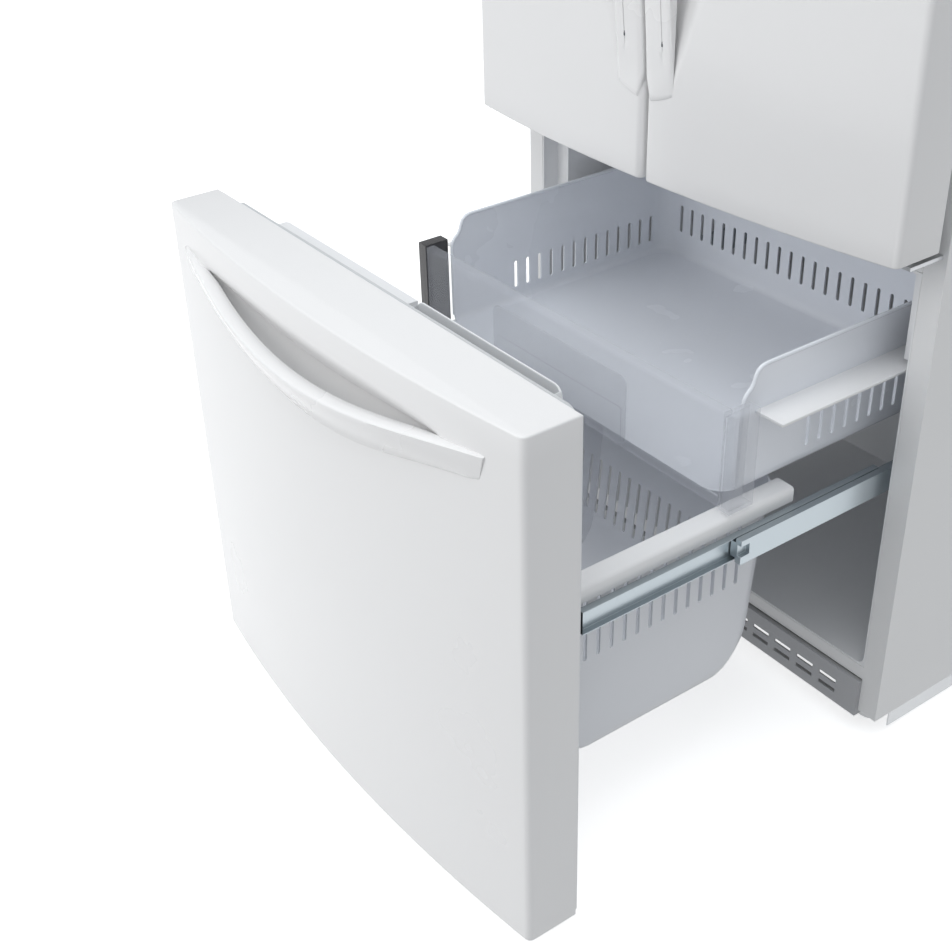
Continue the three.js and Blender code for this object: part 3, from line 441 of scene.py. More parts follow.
# ---- Freezer basket ----
# A deep basket moulded in one piece, with a rounded rear foot and side rims turned out over the slides.
# Rows of upright slots run along both sides and the rear; a clear divider hooks over and slides along it.
basket_lo, basket_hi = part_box("freezer_basket")
basket_tone = finish("basket_plastic", (0.80, 0.815, 0.85), 0.34, grain=250, relief=0.000015, mottle=0.02)
# The rims and the tray's flanges take a lighter copy of the basket plastic: painted light standing for the
# light on their upturned tops.
lit_copy_plastic = finish("basket_plastic_lit_copy", (0.87, 0.87, 0.875), 0.34, grain=250, relief=0.000015, mottle=0.01)
wall = 0.0025
basket_half = 0.287 + wall
rear_lean = 0.029 / 0.275


def basket_ring(z, inset, steps=5):
    """Plan outline of the basket at height z, drawn in by inset, with its rear foot rounded in side view."""
    floor = basket_lo.z + inset
    top = basket_hi.z
    rear = basket_hi.y - inset - rear_lean * (top - z)
    front = basket_lo.y + inset
    foot = 0.065 - inset
    toe = 0.030
    up = z - floor
    if up < foot:
        rear -= foot - math.sqrt(max(0.0, foot ** 2 - (foot - up) ** 2))
    if up < toe:
        front += toe - math.sqrt(max(0.0, toe ** 2 - (toe - up) ** 2))
    side = basket_half - inset
    low = 0.012 - inset * 0.5
    if up < low:
        side -= low - math.sqrt(max(0.0, low ** 2 - (low - up) ** 2))
    return [(x, y, z) for x, y in rounded_rect(-side, side, front, rear, 0.024 - inset, steps)]


def graded(low, high, steps):
    """Heights from low to high, close together near low."""
    return [low + (high - low) * (i / steps) ** 2.2 for i in range(steps + 1)]


basket_levels = graded(basket_lo.z + 0.0003, basket_hi.z - 0.003, 16)
outer_rings = [basket_ring(z, 0.0) for z in basket_levels]
inner_rings = [basket_ring(z, wall) for z in graded(basket_lo.z + wall + 0.0003, basket_hi.z - 0.003, 16)]
basket = lofted("freezer_basket_moulding", outer_rings + inner_rings[::-1])


def socket_name(tree, label):
    return next(item.identifier for item in tree.interface.items_tree
                if item.name == label and item.in_out == "INPUT")


def new_tree(name, inputs):
    """A geometry tree with named inputs, its group input node, and a link helper."""
    tree = bpy.data.node_groups.new(name, "GeometryNodeTree")
    tree.interface.new_socket("Geometry", in_out="INPUT", socket_type="NodeSocketGeometry")
    for label, kind, value in inputs:
        socket = tree.interface.new_socket(label, in_out="INPUT", socket_type="NodeSocket" + kind)
        if value is not None:
            socket.default_value = value
    tree.interface.new_socket("Geometry", in_out="OUTPUT", socket_type="NodeSocketGeometry")
    return tree, tree.nodes.new("NodeGroupInput"), tree.nodes.new("NodeGroupOutput")


def chain(tree, *steps):
    for start, end in steps:
        tree.links.new(start, end)


def row_tree(name, profile_inputs, build_profile):
    """A tree that sets one made shape at each step of a row, makes the row real and gives it its finish."""
    tree, given, out = new_tree(name, [
        ("Count", "Int", 8), ("Start", "Vector", None), ("Step", "Vector", None), ("Turn", "Vector", None),
        ("Finish", "Material", None), *profile_inputs,
    ])
    nodes = tree.nodes
    line = nodes.new("GeometryNodeMeshLine")
    points = nodes.new("GeometryNodeInstanceOnPoints")
    real = nodes.new("GeometryNodeRealizeInstances")
    paint = nodes.new("GeometryNodeSetMaterial")
    shape = build_profile(tree, given)
    chain(tree,
          (given.outputs["Count"], line.inputs["Count"]),
          (given.outputs["Start"], line.inputs["Start Location"]),
          (given.outputs["Step"], line.inputs["Offset"]),
          (line.outputs["Mesh"], points.inputs["Points"]),
          (shape, points.inputs["Instance"]),
          (given.outputs["Turn"], points.inputs["Rotation"]),
          (points.outputs["Instances"], real.inputs["Geometry"]),
          (real.outputs["Geometry"], paint.inputs["Geometry"]),
          (given.outputs["Finish"], paint.inputs["Material"]),
          (paint.outputs["Geometry"], out.inputs["Geometry"]))
    return tree


def stadium(tree, given):
    """A round-ended bar: Width across, Tall upright and Deep through, closed all round."""
    nodes = tree.nodes
    outline = nodes.new("GeometryNodeCurvePrimitiveQuadrilateral")
    fillet = nodes.new("GeometryNodeFilletCurve")
    fillet.mode = "POLY"
    fillet.inputs["Count"].default_value = 4
    half = nodes.new("ShaderNodeMath")
    half.operation = "MULTIPLY"
    half.inputs[1].default_value = 0.499
    fill = nodes.new("GeometryNodeFillCurve")
    fill.mode = "NGONS"
    push = nodes.new("GeometryNodeExtrudeMesh")
    push.inputs["Individual"].default_value = False
    flip = nodes.new("GeometryNodeFlipFaces")
    both = nodes.new("GeometryNodeJoinGeometry")
    weld = nodes.new("GeometryNodeMergeByDistance")
    weld.inputs["Distance"].default_value = 1e-6
    centre = nodes.new("GeometryNodeTransform")
    drop = nodes.new("ShaderNodeCombineXYZ")
    lower = nodes.new("ShaderNodeMath")
    lower.operation = "MULTIPLY"
    lower.inputs[1].default_value = -0.5
    stand = nodes.new("GeometryNodeTransform")
    stand.inputs["Rotation"].default_value = (math.pi / 2, 0, 0)
    chain(tree,
          (given.outputs["Width"], outline.inputs["Width"]),
          (given.outputs["Tall"], outline.inputs["Height"]),
          (given.outputs["Width"], half.inputs[0]),
          (half.outputs[0], fillet.inputs["Radius"]),
          (outline.outputs["Curve"], fillet.inputs["Curve"]),
          (fillet.outputs["Curve"], fill.inputs["Curve"]),
          (fill.outputs["Mesh"], push.inputs["Mesh"]),
          (given.outputs["Deep"], push.inputs["Offset Scale"]),
          (fill.outputs["Mesh"], flip.inputs["Mesh"]),
          (flip.outputs["Mesh"], both.inputs["Geometry"]),
          (push.outputs["Mesh"], both.inputs["Geometry"]),
          (both.outputs["Geometry"], weld.inputs["Geometry"]),
          (given.outputs["Deep"], lower.inputs[0]),
          (lower.outputs[0], drop.inputs["Z"]),
          (weld.outputs["Geometry"], centre.inputs["Geometry"]),
          (drop.outputs["Vector"], centre.inputs["Translation"]),
          (centre.outputs["Geometry"], stand.inputs["Geometry"]))
    return stand.outputs["Geometry"]


bar_tree = row_tree("row_of_round_ended_bars",
                    [("Width", "Float", 0.005), ("Tall", "Float", 0.05), ("Deep", "Float", 0.02)], stadium)
blank_mesh = bpy.data.meshes.new("blank")


def row(tree, name, material, **values):
    """A row made by a tree, as a plain mesh. Values are the tree's named inputs."""
    piece = bpy.data.objects.new(name, blank_mesh.copy())
    scene.collection.objects.link(piece)
    maker = piece.modifiers.new("maker", "NODES")
    maker.node_group = tree
    maker[socket_name(tree, "Finish")] = material
    for label, value in values.items():
        maker[socket_name(tree, label)] = value
    return settled(piece)


def gathered(name, pieces):
    """Several plain pieces made one object."""
    shape = bmesh.new()
    for piece in pieces:
        shape.from_mesh(piece.data)
        bpy.data.objects.remove(piece)
    mesh = bpy.data.meshes.new(name)
    shape.to_mesh(mesh)
    shape.free()
    whole = bpy.data.objects.new(name, mesh)
    scene.collection.objects.link(whole)
    return whole


def shaped(piece, tool, operation="DIFFERENCE"):
    """The piece with the tool cut from it or joined to it; the tool is used up."""
    knife = piece.modifiers.new("shaped", "BOOLEAN")
    knife.operation = operation
    knife.solver = "EXACT"
    knife.object = tool
    settled(piece)
    bpy.data.objects.remove(tool)
    return piece


quarter_turn = math.pi / 2
slot_width = 0.006
slot_pitch = 0.020
side_count = 13
side_first = basket_lo.y + 0.0285
basket_slots = [
    row(bar_tree, "side_slots", white_enamel, Count=side_count, Width=slot_width, Tall=0.097, Deep=0.8,
        Start=(0.0, side_first, basket_hi.z - 0.0825), Step=(0, slot_pitch, 0), Turn=(0, 0, quarter_turn)),
    row(bar_tree, "rear_slots", white_enamel, Count=25, Width=slot_width, Tall=0.087, Deep=0.08,
        Start=(-12 * slot_pitch, basket_hi.y - 0.02, basket_hi.z - 0.1645), Step=(slot_pitch, 0, 0)),
]
shaped(basket, gathered("basket_slots", basket_slots))
placed(smoothed(basket, 38), basket_tone, "bin_plastic", "freezer_drawer", "freezer_basket")

rim_top = [(0.0, -0.006), (-0.0012, -0.0014), (0.0, 0.0), (-0.022, 0.0), (-0.0258, -0.0012), (-0.027, -0.004)]
rim_skirt = [(-0.027, -0.0195), (-0.026, -0.021), (-0.0246, -0.0195), (-0.0246, -0.0062), (-0.023, -0.0045)]
rim_under = [(-0.012, -0.0042), (-0.0105, -0.0075), (-0.008, -0.0075), (-0.0065, -0.0042)]
rim_profile = rim_top + rim_skirt + rim_under
for side_name, side in (("left", -1), ("right", 1)):
    rings = []
    for i in range(3):
        y = basket_lo.y + 0.0004 + (basket_hi.y - basket_lo.y - 0.0008) * i / 2
        rings.append([(side * (basket_half - out - wall), y, basket_hi.z + up) for out, up in rim_profile])
    rim = smoothed(lofted("basket_rim_" + side_name, rings), 50)
    placed(rim, lit_copy_plastic, "bin_plastic", "freezer_drawer")

clear_plastic = finish("clear_plastic", (0.66, 0.68, 0.74), 0.08, grain=250, relief=0.000006, mottle=0.02,
                       alpha=0.16, specular=0.6)
stand_in("basket_divider_sheet", "basket_divider", clear_plastic, "clear_plastic", "basket_divider",
         width=0.0005)

# ---- Drawer slides ----
# Roller-formed galvanised channels in three stages a side: on the cabinet, on the drawer and one between.
# The middle stage runs at half the drawer's speed on two rows of steel balls held in grease.
galvanised = finish("galvanised_steel", (0.45, 0.50, 0.53), 0.34, grain=220, relief=0.00002, mottle=0.10,
                    metallic=0.85, stretch=(1, 0.15, 1))
ball_steel = finish("ball_steel", (0.86, 0.88, 0.90), 0.12, grain=900, relief=0.00001, mottle=0.02,
                    metallic=1.0)


def ball(tree, given):
    sphere = tree.nodes.new("GeometryNodeMeshIcoSphere")
    sphere.inputs["Subdivisions"].default_value = 2
    shade = tree.nodes.new("GeometryNodeSetShadeSmooth")
    chain(tree,
          (given.outputs["Radius"], sphere.inputs["Radius"]),
          (sphere.outputs["Mesh"], shade.inputs["Geometry"]))
    return shade.outputs["Geometry"]


ball_tree = row_tree("row_of_balls", [("Radius", "Float", 0.002)], ball)
for side_name in ("left", "right"):
    for stage, body in (("inner", "freezer_drawer"), ("middle", "middle_slides"), ("outer", "cabinet")):
        node = f"slide_{stage}_{side_name}"
        stand_in(f"slide_{stage}_rail_{side_name}", node, galvanised, "slide_steel", body, width=0.0005)
    lo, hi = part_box("slide_middle_" + side_name)
    sign = -1 if side_name == "left" else 1
    track_x = sign * 0.3235
    balls = gathered("slide_balls_" + side_name, [
        row(ball_tree, "balls", ball_steel, Count=30, Start=(track_x, lo.y + 0.02, (lo.z + hi.z) / 2 + up),
            Step=(0, 0.007, 0), Radius=0.0022) for up in (-0.0125, 0.0125)])
    placed(smoothed(balls, 60), ball_steel, "slide_steel", "middle_slides")

# ---- Pull-out tray ----
# A shallow tray moulded in the same bluish plastic, with a beaded rim that falls in an S at the front.
# Its sides and rear are slotted, and its flanges run on the liner's guides.
_, tray_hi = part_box("pullout_tray")
panel_lo, panel_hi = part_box("tray_front_panel")
tray_zero = panel_lo.y - 0.058
tray_floor = 0.457
tray_half = 0.288 + wall
tray_rear = tray_hi.y
tray_top = tray_hi.z
# The tray's pale bluish tone is raised above the basket's, though it is the same plastic. This is painted
# light brightening the tray's dim inside.
tray_tone_and_painted_light = finish("tray_plastic_and_painted_light", (0.85, 0.875, 0.925), 0.26, grain=250, relief=0.000015, mottle=0.02)


def tray_ring(z, inset):
    floor = tray_floor - wall + inset
    low = 0.010 - inset * 0.5
    up = z - floor
    tuck = low - math.sqrt(max(0.0, low ** 2 - (low - up) ** 2)) if up < low else 0.0
    side = tray_half - inset - tuck
    front = tray_zero + 0.070 + inset
    outline = rounded_rect(-side, side, front, tray_rear - inset - tuck, 0.030 - inset, 6)
    return [(x, y, z) for x, y in outline]


outer_rings = [tray_ring(z, 0.0) for z in graded(tray_floor - wall + 0.0002, tray_top - 0.003, 12)]
inner_rings = [tray_ring(z, wall) for z in graded(tray_floor + 0.0002, tray_top - 0.003, 12)]
tray = lofted("pullout_tray_moulding", outer_rings + inner_rings[::-1])

wall_front = tray_zero + 0.096
s_curve = [(0.0, -0.150), (0.0, -0.046), (0.001, -0.038), (0.005, -0.031), (0.011, -0.026), (0.015, -0.020),
           (0.017, -0.013), (0.020, -0.006), (0.026, -0.0015), (0.034, 0.0)]
open_front = [(tray_zero + 0.02, tray_floor + 0.0005), (tray_zero + 0.02, tray_top + 0.01),
              (wall_front + 0.035, tray_top + 0.01)]
open_front += [(wall_front + a, tray_top + b) for a, b in s_curve[::-1][:-1]]
open_front += [(wall_front, tray_floor + 0.0005)]
mouth = lofted("tray_mouth", [[(x, y, z) for y, z in open_front] for x in (-0.4, 0.4)])
shaped(tray, mouth)
side_pitch = 0.0223
rear_pitch = 0.0229
tray_slots = [
    row(bar_tree, "tray_side_slots", white_enamel, Count=13, Width=slot_width, Tall=0.043, Deep=0.8,
        Start=(0, tray_rear - 0.034 - 12 * side_pitch, tray_floor + 0.0415), Step=(0, side_pitch, 0),
        Turn=(0, 0, quarter_turn)),
    row(bar_tree, "tray_rear_slots", white_enamel, Count=23, Width=slot_width, Tall=0.044, Deep=0.05,
        Start=(-11 * rear_pitch, tray_rear, tray_floor + 0.061), Step=(rear_pitch, 0, 0)),
]
shaped(tray, gathered("tray_slots", tray_slots))
placed(smoothed(tray, 38), tray_tone_and_painted_light, "bin_plastic", "pullout_tray", "pullout_tray")


def bead(name, path, section):
    """A bead along a path of (point, outward normal); its section is of (outwards, crosswise) points."""
    rings = []
    for i, (point, normal) in enumerate(path):
        before = path[max(0, i - 1)][0]
        after = path[min(len(path) - 1, i + 1)][0]
        along = (Vector(after) - Vector(before)).normalized()
        out = Vector(normal).normalized()
        up = along.cross(out).normalized()
        rings.append([tuple(Vector(point) + out * a + up * b) for a, b in section])
    return smoothed(lofted(name, rings), 50)


def round_section(wide, tall, steps=12):
    return [(wide / 2 * math.cos(2 * math.pi * i / steps), tall / 2 * math.sin(2 * math.pi * i / steps))
            for i in range(steps)]


rim_path = [((-tray_half + wall / 2, wall_front + a, tray_top + b - 0.0026), (-1, 0, 0)) for a, b in s_curve]
corner = 0.030 - wall / 2
for i in range(9):
    turn = math.pi - math.pi / 2 * i / 8
    rim_path.append(((-tray_half + wall / 2 + corner + corner * math.cos(turn),
                      tray_rear - wall / 2 - corner + corner * math.sin(turn), tray_top - 0.0026),
                     (math.cos(turn), math.sin(turn), 0)))
rim_path += [((-x, y, z), (-nx, ny, nz)) for (x, y, z), (nx, ny, nz) in rim_path[::-1]]
rim_bead = bead("tray_rim_bead", rim_path, round_section(0.0052, 0.0052))
placed(rim_bead, tray_tone_and_painted_light, "bin_plastic", "pullout_tray")


def rounded_box(name, x0, x1, y0, y1, z0, z1, radius=0.001, steps=3):
    corners = [(x, y, z) for x in (x0, x1) for y in (y0, y1) for z in (z0, z1)]
    faces = [(0, 1, 3, 2), (4, 6, 7, 5), (0, 4, 5, 1), (2, 3, 7, 6), (0, 2, 6, 4), (1, 5, 7, 3)]
    piece = new_piece(name, corners, faces)
    bevel = piece.modifiers.new("eased_edges", "BEVEL")
    bevel.width = radius
    bevel.segments = steps
    return smoothed(settled(piece), 50)


flange_top = 0.560
# The flanges take the lighter copy of the basket plastic, painted light on their tops.
for side_name, side in (("left", -1), ("right", 1)):
    xs = sorted((side * (tray_half - 0.001), side * 0.333))
    flange = rounded_box("tray_flange_" + side_name, xs[0], xs[1], wall_front + 0.020, tray_rear - 0.005,
                         flange_top - 0.004, flange_top, 0.0008)
    placed(flange, lit_copy_plastic, "bin_plastic", "pullout_tray")
floor_front = rounded_box("tray_floor_lip", -0.2828, 0.2828, panel_hi.y + 0.0006, tray_zero + 0.0725,
                          tray_floor - wall, tray_floor, 0.0006)
placed(floor_front, tray_tone_and_painted_light, "bin_plastic", "pullout_tray")

# ---- Clear tray front ----
# A clear moulded panel with a thick top rail, held at its ends by two end caps, the left one smoke grey.
# A shallow clear pull is moulded on its front.
smoke_plastic = finish("smoke_plastic", (0.045, 0.043, 0.045), 0.25, grain=500, relief=0.00002, mottle=0.05,
                       alpha=0.93)
# Near-black finish for the discs on the door handles: painted shade standing for the shadow inside their
# screw holes.
hole_shade_paint = finish("painted_hole_shade", (0.035, 0.04, 0.055), 0.35, grain=600, relief=0.00001, mottle=0.05)
stand_in("tray_front_sheet", "tray_front_panel", clear_plastic, "clear_plastic", "pullout_tray",
         width=0.0008)
stand_in("tray_pull_moulding", "tray_handle_insert", clear_plastic, "clear_plastic", "pullout_tray",
         width=0.0004)
for side_name, tone, material in (("left", "smoke", smoke_plastic), ("right", "clear", clear_plastic)):
    stand_in("tray_end_cap_" + side_name, "tray_cap_" + side_name, material, tone + "_plastic",
             "pullout_tray", width=0.0008)

# ---- French doors ----
# Two doors share one bowed face; each is a pressed, enamelled skin over a foamed core and a formed liner.
# A finger scoop is pressed in beside each handle, and each liner's dike carries a clear bin for bottles.
door_lo, door_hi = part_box("door_skin_left")
doors_zero = door_hi.y
centre_gap = 0.003
hold_low, hold_high = door_lo.z + 0.105, door_hi.z - 0.105
hold_outer = 0.050
hole_shade_x = 0.0335


def door_dent(x, z):
    across = abs(x)
    grow = ease((z - hold_low + 0.008) / 0.25) * ease((hold_high + 0.008 - z) / 0.25)
    if grow <= 0:
        return 0.0
    brink = 0.030 + 0.082 * grow ** 0.5
    deep = 0.024 * grow
    if across > 0.044:
        return deep * ease((brink - across) / max(0.004, brink - 0.044))
    return deep * ease((across - 0.014) / 0.030)


door_heights = [door_lo.z + 0.03, door_lo.z + 0.07]
door_heights += [hold_low - 0.010 + 0.0028 * i for i in range(42)]
door_heights += [hold_low + 0.13 + (hold_high - hold_low - 0.26) * i / 18 for i in range(19)]
door_heights += [hold_high + 0.010 - 0.0028 * i for i in range(41, -1, -1)]
door_heights += [door_hi.z - 0.07, door_hi.z - 0.03]


def hold_section(stand, inner, groove):
    """Section of a door handle: (distance from the door pair's middle, out from the front)."""
    lip = min(0.018, stand + 0.0008)
    inside = max(0.0016, stand * 0.80)
    points = [(hold_outer, stand - lip + 0.0012), (hold_outer, stand - 0.0028 * min(1, stand / 0.006)),
              (hold_outer - 0.0009, stand - 0.0007), (hold_outer - 0.0026, stand)]
    seam = hold_outer - 0.0165
    spots = [hold_outer - 0.006, hold_outer - 0.011, seam + 0.0009, seam + 0.0005, seam - 0.0005,
             seam - 0.0009, 0.026, 0.020, 0.014, inner + 0.004]
    for a in spots:
        t = (hold_outer - a) / (hold_outer - inner - 0.003)
        dip = groove if abs(a - seam) < 0.0007 else 0.0
        points.append((a, stand - (stand - inside) * t ** 1.4 - dip))
    points += [(inner + 0.0016, inside - 0.0006), (inner + 0.0004, inside - 0.0022), (inner, inside - 0.005),
               (inner, -0.0045), (inner + 0.008, -0.005), (inner + 0.0125, -0.0005),
               (0.027, stand - lip), (hold_outer - 0.0012, stand - lip)]
    return points


def handle_stand(t):
    """How far a door handle stands out, t running from -1 at its lower end to 1 at its upper end."""
    return 0.0006 + 0.0294 * max(0.0, 1 - t * t) ** 1.6


def door_handle(name, side):
    rings = []
    stations = 120
    for i in range(stations + 1):
        t = 2 * i / stations - 1
        z = (hold_low + hold_high) / 2 + (hold_high - hold_low) / 2 * t
        stand = handle_stand(t)
        nearest = min(z - hold_low, hold_high - z)
        inner = 0.0022 + 0.0075 * max(0.0, 1 - nearest / 0.029)
        groove = 0.0016 * ease((nearest - 0.055) / 0.02)
        slant = max(0.0, 1 - nearest / 0.05) * (1 if t < 0 else -1)
        ring = []
        for a, out in hold_section(stand, inner, groove):
            rise = 0.014 * (a / hold_outer) ** 1.6 * slant
            ring.append((side * a, doors_zero + front_y(a) - out, z + rise))
        rings.append(ring)
    for end, sign in ((0, -1), (-1, 1)):
        ring = rings[end]
        middle = sum((Vector(p) for p in ring), Vector()) / len(ring)
        cap = [tuple(middle + (Vector(p) - middle) * 0.94 + Vector((0, 0.0006, sign * 0.0010))) for p in ring]
        rings.insert(0, cap) if sign < 0 else rings.append(cap)
    return smoothed(lofted(name, rings), 42)


door_bin_tone = finish("door_bin_plastic", (0.60, 0.63, 0.68), 0.1, grain=250, relief=0.000006, mottle=0.02,
                       alpha=0.42, specular=0.7)
for side_name, side in (("left", -1), ("right", 1)):
    body = side_name + "_door"
    x0, x1 = (-half_width, -centre_gap) if side < 0 else (centre_gap, half_width)
    skin = bowed_front("door_pressing_" + side_name, x0, x1, door_lo.z, door_hi.z, doors_zero - 0.0002,
                       door_dent, door_heights, 112)
    placed(skin, white_enamel, "white_enamel", body, "door_skin_" + side_name)
    placed(door_handle("door_handle_strip_" + side_name, side), handle_white, "handle_white", body,
           "door_handle_" + side_name)
    stand_in("door_inner_liner_" + side_name, "door_liner_" + side_name, liner_white, "liner_white", body,
             width=0.003, segments=3, keep_behind=doors_zero + 0.0001)
    gasket = "door_gasket_" + side_name
    placed(bellows_seal("door_bellows_seal_" + side_name, gasket), seal_vinyl, "seal_vinyl", body, gasket)
    stand_in("door_bottle_bin_" + side_name, "door_bin_" + side_name, door_bin_tone, "clear_plastic", body,
             segments=3)
    # Two near-black round-ended discs on each handle face are painted shade for the screw holes, which read
    # dark from their own shadow.
    for end, z in (("lower", hold_low + 0.074), ("upper", hold_high - 0.074)):
        t = (z - (hold_low + hold_high) / 2) / ((hold_high - hold_low) / 2)
        out = handle_stand(t)
        hole_shade_disc = row(bar_tree, f"handle_hole_shade_{end}_{side_name}", hole_shade_paint, Count=1,
                   Start=(side * hole_shade_x, doors_zero + front_y(hole_shade_x) - out + 0.0010, z),
                   Width=0.0026, Tall=0.0062, Deep=0.0016)
        placed(hole_shade_disc, hole_shade_paint, "grey_plastic", body)

stand_in("mullion_flap_moulding", "mullion_flap", liner_white, "liner_white", "mullion_flap", width=0.002,
         segments=3)

# ---- Hinges ----
# Pressed steel hinges: on each side a bent leaf with a pin below the door, and a strap with a pin above it.
# Each top strap is bolted to the cabinet and lies under a white moulded cover.
bare_steel = finish("bare_steel", (0.56, 0.57, 0.58), 0.42, grain=300, relief=0.00003, mottle=0.08,
                    metallic=0.8)
cover_inner, cover_outer = 0.322, 0.3765
cover_foot = 1.7386
for side_name, side in (("left", -1), ("right", 1)):
    for level in ("middle", "top"):
        node = f"hinge_{level}_{side_name}"
        stand_in(f"hinge_{level}_leaf_{side_name}", node, bare_steel, "bare_steel", width=0.0007)
    lo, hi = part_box("hinge_top_" + side_name)
    outer_levels = [(0.0, 0.0), (0.0, 0.0089), (0.0008, 0.0114), (0.0030, 0.0129), (0.0060, 0.0135)]
    inner_levels = [(0.004, 0.0099), (0.002, 0.0084), (0.002, 0.0)]
    rings = []
    for inset, up in inner_levels + outer_levels:
        xs = sorted((side * (cover_inner + inset), side * (cover_outer - inset)))
        outline = rounded_rect(xs[0], xs[1], lo.y - 0.0015 + inset, hi.y + 0.004 - inset, 0.012 - inset, 5)
        rings.append([(x, y, cover_foot + up) for x, y in outline])
    cover = smoothed(lofted("hinge_cover_" + side_name, rings), 40)
    placed(cover, handle_white, "handle_white", "cabinet")

# ---- Cabinet ----
# One folded steel wrapper, stove enamelled outside, with a cross rail between its two openings.
# Two vacuum formed liners are set in it, and foam is blown in between them and the wrapper.
case_enamel = finish("case_enamel", (0.81, 0.81, 0.81), 0.36, grain=160, relief=0.000012, mottle=0.008,
                     coat=0.15)
foam_tone = finish("foam", (0.78, 0.66, 0.42), 0.9, grain=250, relief=0.0006, mottle=0.08)
stand_in("cabinet_wrapper", "cabinet_case", case_enamel, "white_enamel", width=0.0022, segments=3)
stand_in("centre_cross_rail", "centre_front_rail", case_enamel, "white_enamel", width=0.0015)
stand_in("freezer_inner_liner", "freezer_liner", liner_white, "liner_white", width=0.004, segments=3)
stand_in("fresh_food_inner_liner", "fresh_food_liner", liner_white, "liner_white", width=0.004, segments=3)
stand_in("evaporator_cover_moulding", "evaporator_cover", liner_white, "liner_white", width=0.0008)


def refinished(node, material):
    """Gives a CAD node that keeps its shape its finish."""
    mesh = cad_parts[node].data
    mesh.materials.clear()
    mesh.materials.append(material)


refinished("insulation_foam", foam_tone)

# ---- Glass shelves, crispers and lamp ----
# Three sheets of tempered glass, each with a moulded front trim, rest on ribs formed in the upper liner.
# Two clear crispers slide in under the lowest one, and a lamp stands behind a clear cover in the ceiling.
shelf_glass = finish("shelf_glass", (0.66, 0.74, 0.72), 0.05, grain=200, relief=0.000004, mottle=0.02,
                     alpha=0.35, specular=0.7)
lamp_tone = finish("lamp_cover", (0.88, 0.88, 0.86), 0.3, grain=250, relief=0.00001, mottle=0.01, alpha=0.8)
for node in ("crisper_cover_shelf", "glass_shelf_lower", "glass_shelf_upper"):
    stand_in(node + "_sheet", node, shelf_glass, "shelf_glass", width=0.0008)
    lo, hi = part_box(node)
    trim = rounded_box(node + "_front_trim", lo.x + 0.0005, hi.x - 0.0005, lo.y - 0.010, lo.y + 0.004,
                       lo.z - 0.004, hi.z + 0.003, 0.0018)
    placed(trim, liner_white, "liner_white", "cabinet")
for side_name, side in (("left", -1), ("right", 1)):
    node = "crisper_" + side_name
    stand_in(node + "_moulding", node, door_bin_tone, "clear_plastic", node, width=0.0016, segments=3)
    lo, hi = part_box(node)
    pull = rounded_box(node + "_pull", lo.x + 0.004, hi.x - 0.004, lo.y - 0.0016, lo.y + 0.0005,
                       hi.z - 0.032, hi.z - 0.004, 0.0007)
    placed(pull, liner_white, "liner_white", node)
stand_in("lamp_cover_moulding", "light_housing", lamp_tone, "clear_plastic", width=0.002, segments=3)

# ---- Cold side behind the freezer ----
# A finned aluminium coil stands behind the freezer's rear cover, which is moulded in white plastic.
# A small fan of grey plastic turns in the cover's round port and blows the cold air forward.
fin_aluminium = finish("fin_aluminium", (0.74, 0.75, 0.76), 0.4, grain=260, relief=0.00003, mottle=0.06,
                       metallic=0.9)
grey_plastic = finish("grey_plastic", (0.50, 0.505, 0.515), 0.45, grain=250, relief=0.00002, mottle=0.02)
copper = finish("copper_tube", (0.72, 0.42, 0.28), 0.3, grain=300, relief=0.00001, mottle=0.12, metallic=1.0)
refinished("evaporator", fin_aluminium)
stand_in("evaporator_fan_blades", "evaporator_fan", grey_plastic, "grey_plastic", "evaporator_fan",
         width=0.0004)


def tube(name, points, radius, steps=8):
    """A round tube bent smoothly through points."""
    path = []
    for i in range(len(points) - 1):
        before, start = Vector(points[max(0, i - 1)]), Vector(points[i])
        end, after = Vector(points[i + 1]), Vector(points[min(len(points) - 1, i + 2)])
        for k in range(steps if i < len(points) - 2 else steps + 1):
            t = k / steps
            bend = 2 * before - 5 * start + 4 * end - after
            twist = 3 * start - before - 3 * end + after
            path.append(0.5 * (2 * start + (end - before) * t + bend * t * t + twist * t ** 3))
    rings = []
    out = Vector((0, 0, 1))
    for i, point in enumerate(path):
        along = (path[min(len(path) - 1, i + 1)] - path[max(0, i - 1)]).normalized()
        if abs(along.dot(out)) > 0.95:
            out = Vector((0, 1, 0))
        out = (out - along * along.dot(out)).normalized()
        across = along.cross(out)
        section = round_section(2 * radius, 2 * radius, 10)
        rings.append([tuple(point + out * a + across * b) for a, b in section])
    return smoothed(lofted(name, rings), 60)


# ---- Machine compartment ----
# Low at the back a black compressor stands on the base pan beside its fan and a black finned condenser.
# A copper tube leads off, a plastic pan takes the defrost water, and screwed sheets close the back.
black_paint = finish("black_paint", (0.028, 0.028, 0.030), 0.42, grain=250, relief=0.00003, mottle=0.05)
can_lo, can_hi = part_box("compressor")
stand_in("compressor_can", "compressor", black_paint, "black_paint", width=0.002)
refinished("condenser", black_paint)
middle_y = (can_lo.y + can_hi.y) / 2
discharge = tube("discharge_tube", [
    (-0.170, middle_y, can_hi.z - 0.004), (-0.170, middle_y, can_hi.z + 0.004),
    (-0.150, middle_y + 0.045, can_hi.z + 0.002), (-0.104, middle_y + 0.075, 0.225),
    (-0.106, middle_y + 0.080, 0.120),
], 0.003)
placed(discharge, copper, "bare_steel", "cabinet")
for node in ("condenser_fan_motor", "drain_pan"):
    stand_in(node + "_piece", node, grey_plastic, "grey_plastic", width=0.0006)
stand_in("condenser_fan_blades", "condenser_fan", grey_plastic, "grey_plastic", "condenser_fan",
         width=0.0004)
galvanised_sheet = finish("galvanised_sheet", (0.62, 0.63, 0.64), 0.45, grain=160, relief=0.00002,
                          mottle=0.10, metallic=0.75)
stand_in("back_sheet", "back_panel", galvanised_sheet, "bare_steel", width=0.0006)
stand_in("louvred_cover", "machine_compartment_cover", galvanised_sheet, "bare_steel", width=0.0003,
         segments=1)


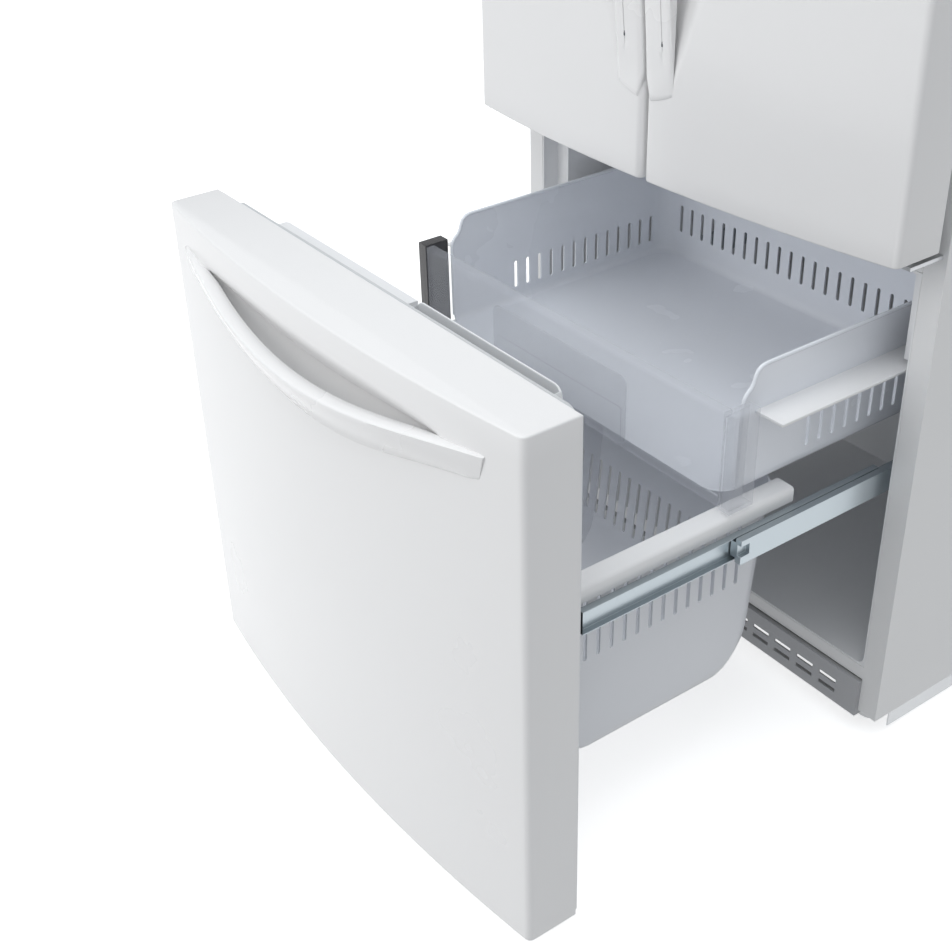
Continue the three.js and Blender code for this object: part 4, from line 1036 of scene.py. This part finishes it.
def screw_head(tree, given):
    """A low domed screw head whose axis runs front to back."""
    nodes = tree.nodes
    head = nodes.new("GeometryNodeMeshCylinder")
    head.inputs["Vertices"].default_value = 14
    dome = nodes.new("GeometryNodeMeshCone")
    dome.inputs["Vertices"].default_value = 14
    lift = nodes.new("GeometryNodeTransform")
    both = nodes.new("GeometryNodeJoinGeometry")
    turn = nodes.new("GeometryNodeTransform")
    turn.inputs["Rotation"].default_value = (-math.pi / 2, 0, 0)
    narrow = nodes.new("ShaderNodeMath")
    narrow.operation = "MULTIPLY"
    narrow.inputs[1].default_value = 0.55
    dome.inputs["Depth"].default_value = 0.0006
    lift.inputs["Translation"].default_value = (0, 0, 0.0006)
    head.inputs["Depth"].default_value = 0.0012
    chain(tree,
          (given.outputs["Radius"], head.inputs["Radius"]),
          (given.outputs["Radius"], dome.inputs["Radius Bottom"]),
          (given.outputs["Radius"], narrow.inputs[0]),
          (narrow.outputs[0], dome.inputs["Radius Top"]),
          (dome.outputs["Mesh"], lift.inputs["Geometry"]),
          (head.outputs["Mesh"], both.inputs["Geometry"]),
          (lift.outputs["Geometry"], both.inputs["Geometry"]),
          (both.outputs["Geometry"], turn.inputs["Geometry"]))
    return turn.outputs["Geometry"]


screw_tree = row_tree("row_of_screws", [("Radius", "Float", 0.004)], screw_head)
_, sheet_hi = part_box("back_panel")
cover_lo, cover_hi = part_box("machine_compartment_cover")
rear_screws = []
for x in (-0.362, 0.362):
    rear_screws.append(row(screw_tree, "sheet_screws", bare_steel, Count=5, Radius=0.004,
                           Start=(x, sheet_hi.y + 0.0005, 0.42), Step=(0, 0, 0.30)))
for z in (cover_lo.z + 0.012, cover_hi.z - 0.014):
    rear_screws.append(row(screw_tree, "cover_screws", bare_steel, Count=4, Radius=0.004,
                           Start=(-0.345, cover_hi.y + 0.0005, z), Step=(0.23, 0, 0)))
placed(smoothed(gathered("rear_screws", rear_screws), 50), bare_steel, "bare_steel", "cabinet")

# ---- Base, grille and feet ----
# A pressed steel pan closes the base; two levelling legs stand in front and two rollers turn behind.
# A grey moulded grille with two rows of vents covers the front of the pan.
grille_tone = finish("grille_plastic", (0.42, 0.425, 0.44), 0.5, grain=250, relief=0.00002, mottle=0.02)
nylon = finish("roller_nylon", (0.16, 0.16, 0.165), 0.55, grain=250, relief=0.00003, mottle=0.05)
stand_in("base_pressing", "base_pan", galvanised_sheet, "bare_steel", width=0.0006)
stand_in("grille_moulding", "base_grille", grille_tone, "grey_plastic", width=0.0010)
for side_name in ("left", "right"):
    leg = "levelling_leg_" + side_name
    stand_in("turned_leg_" + side_name, leg, bare_steel, "bare_steel", width=0.0008)
    wheel = "rear_roller_" + side_name
    stand_in("roller_wheel_" + side_name, wheel, nylon, "roller_nylon", wheel, width=0.0010)
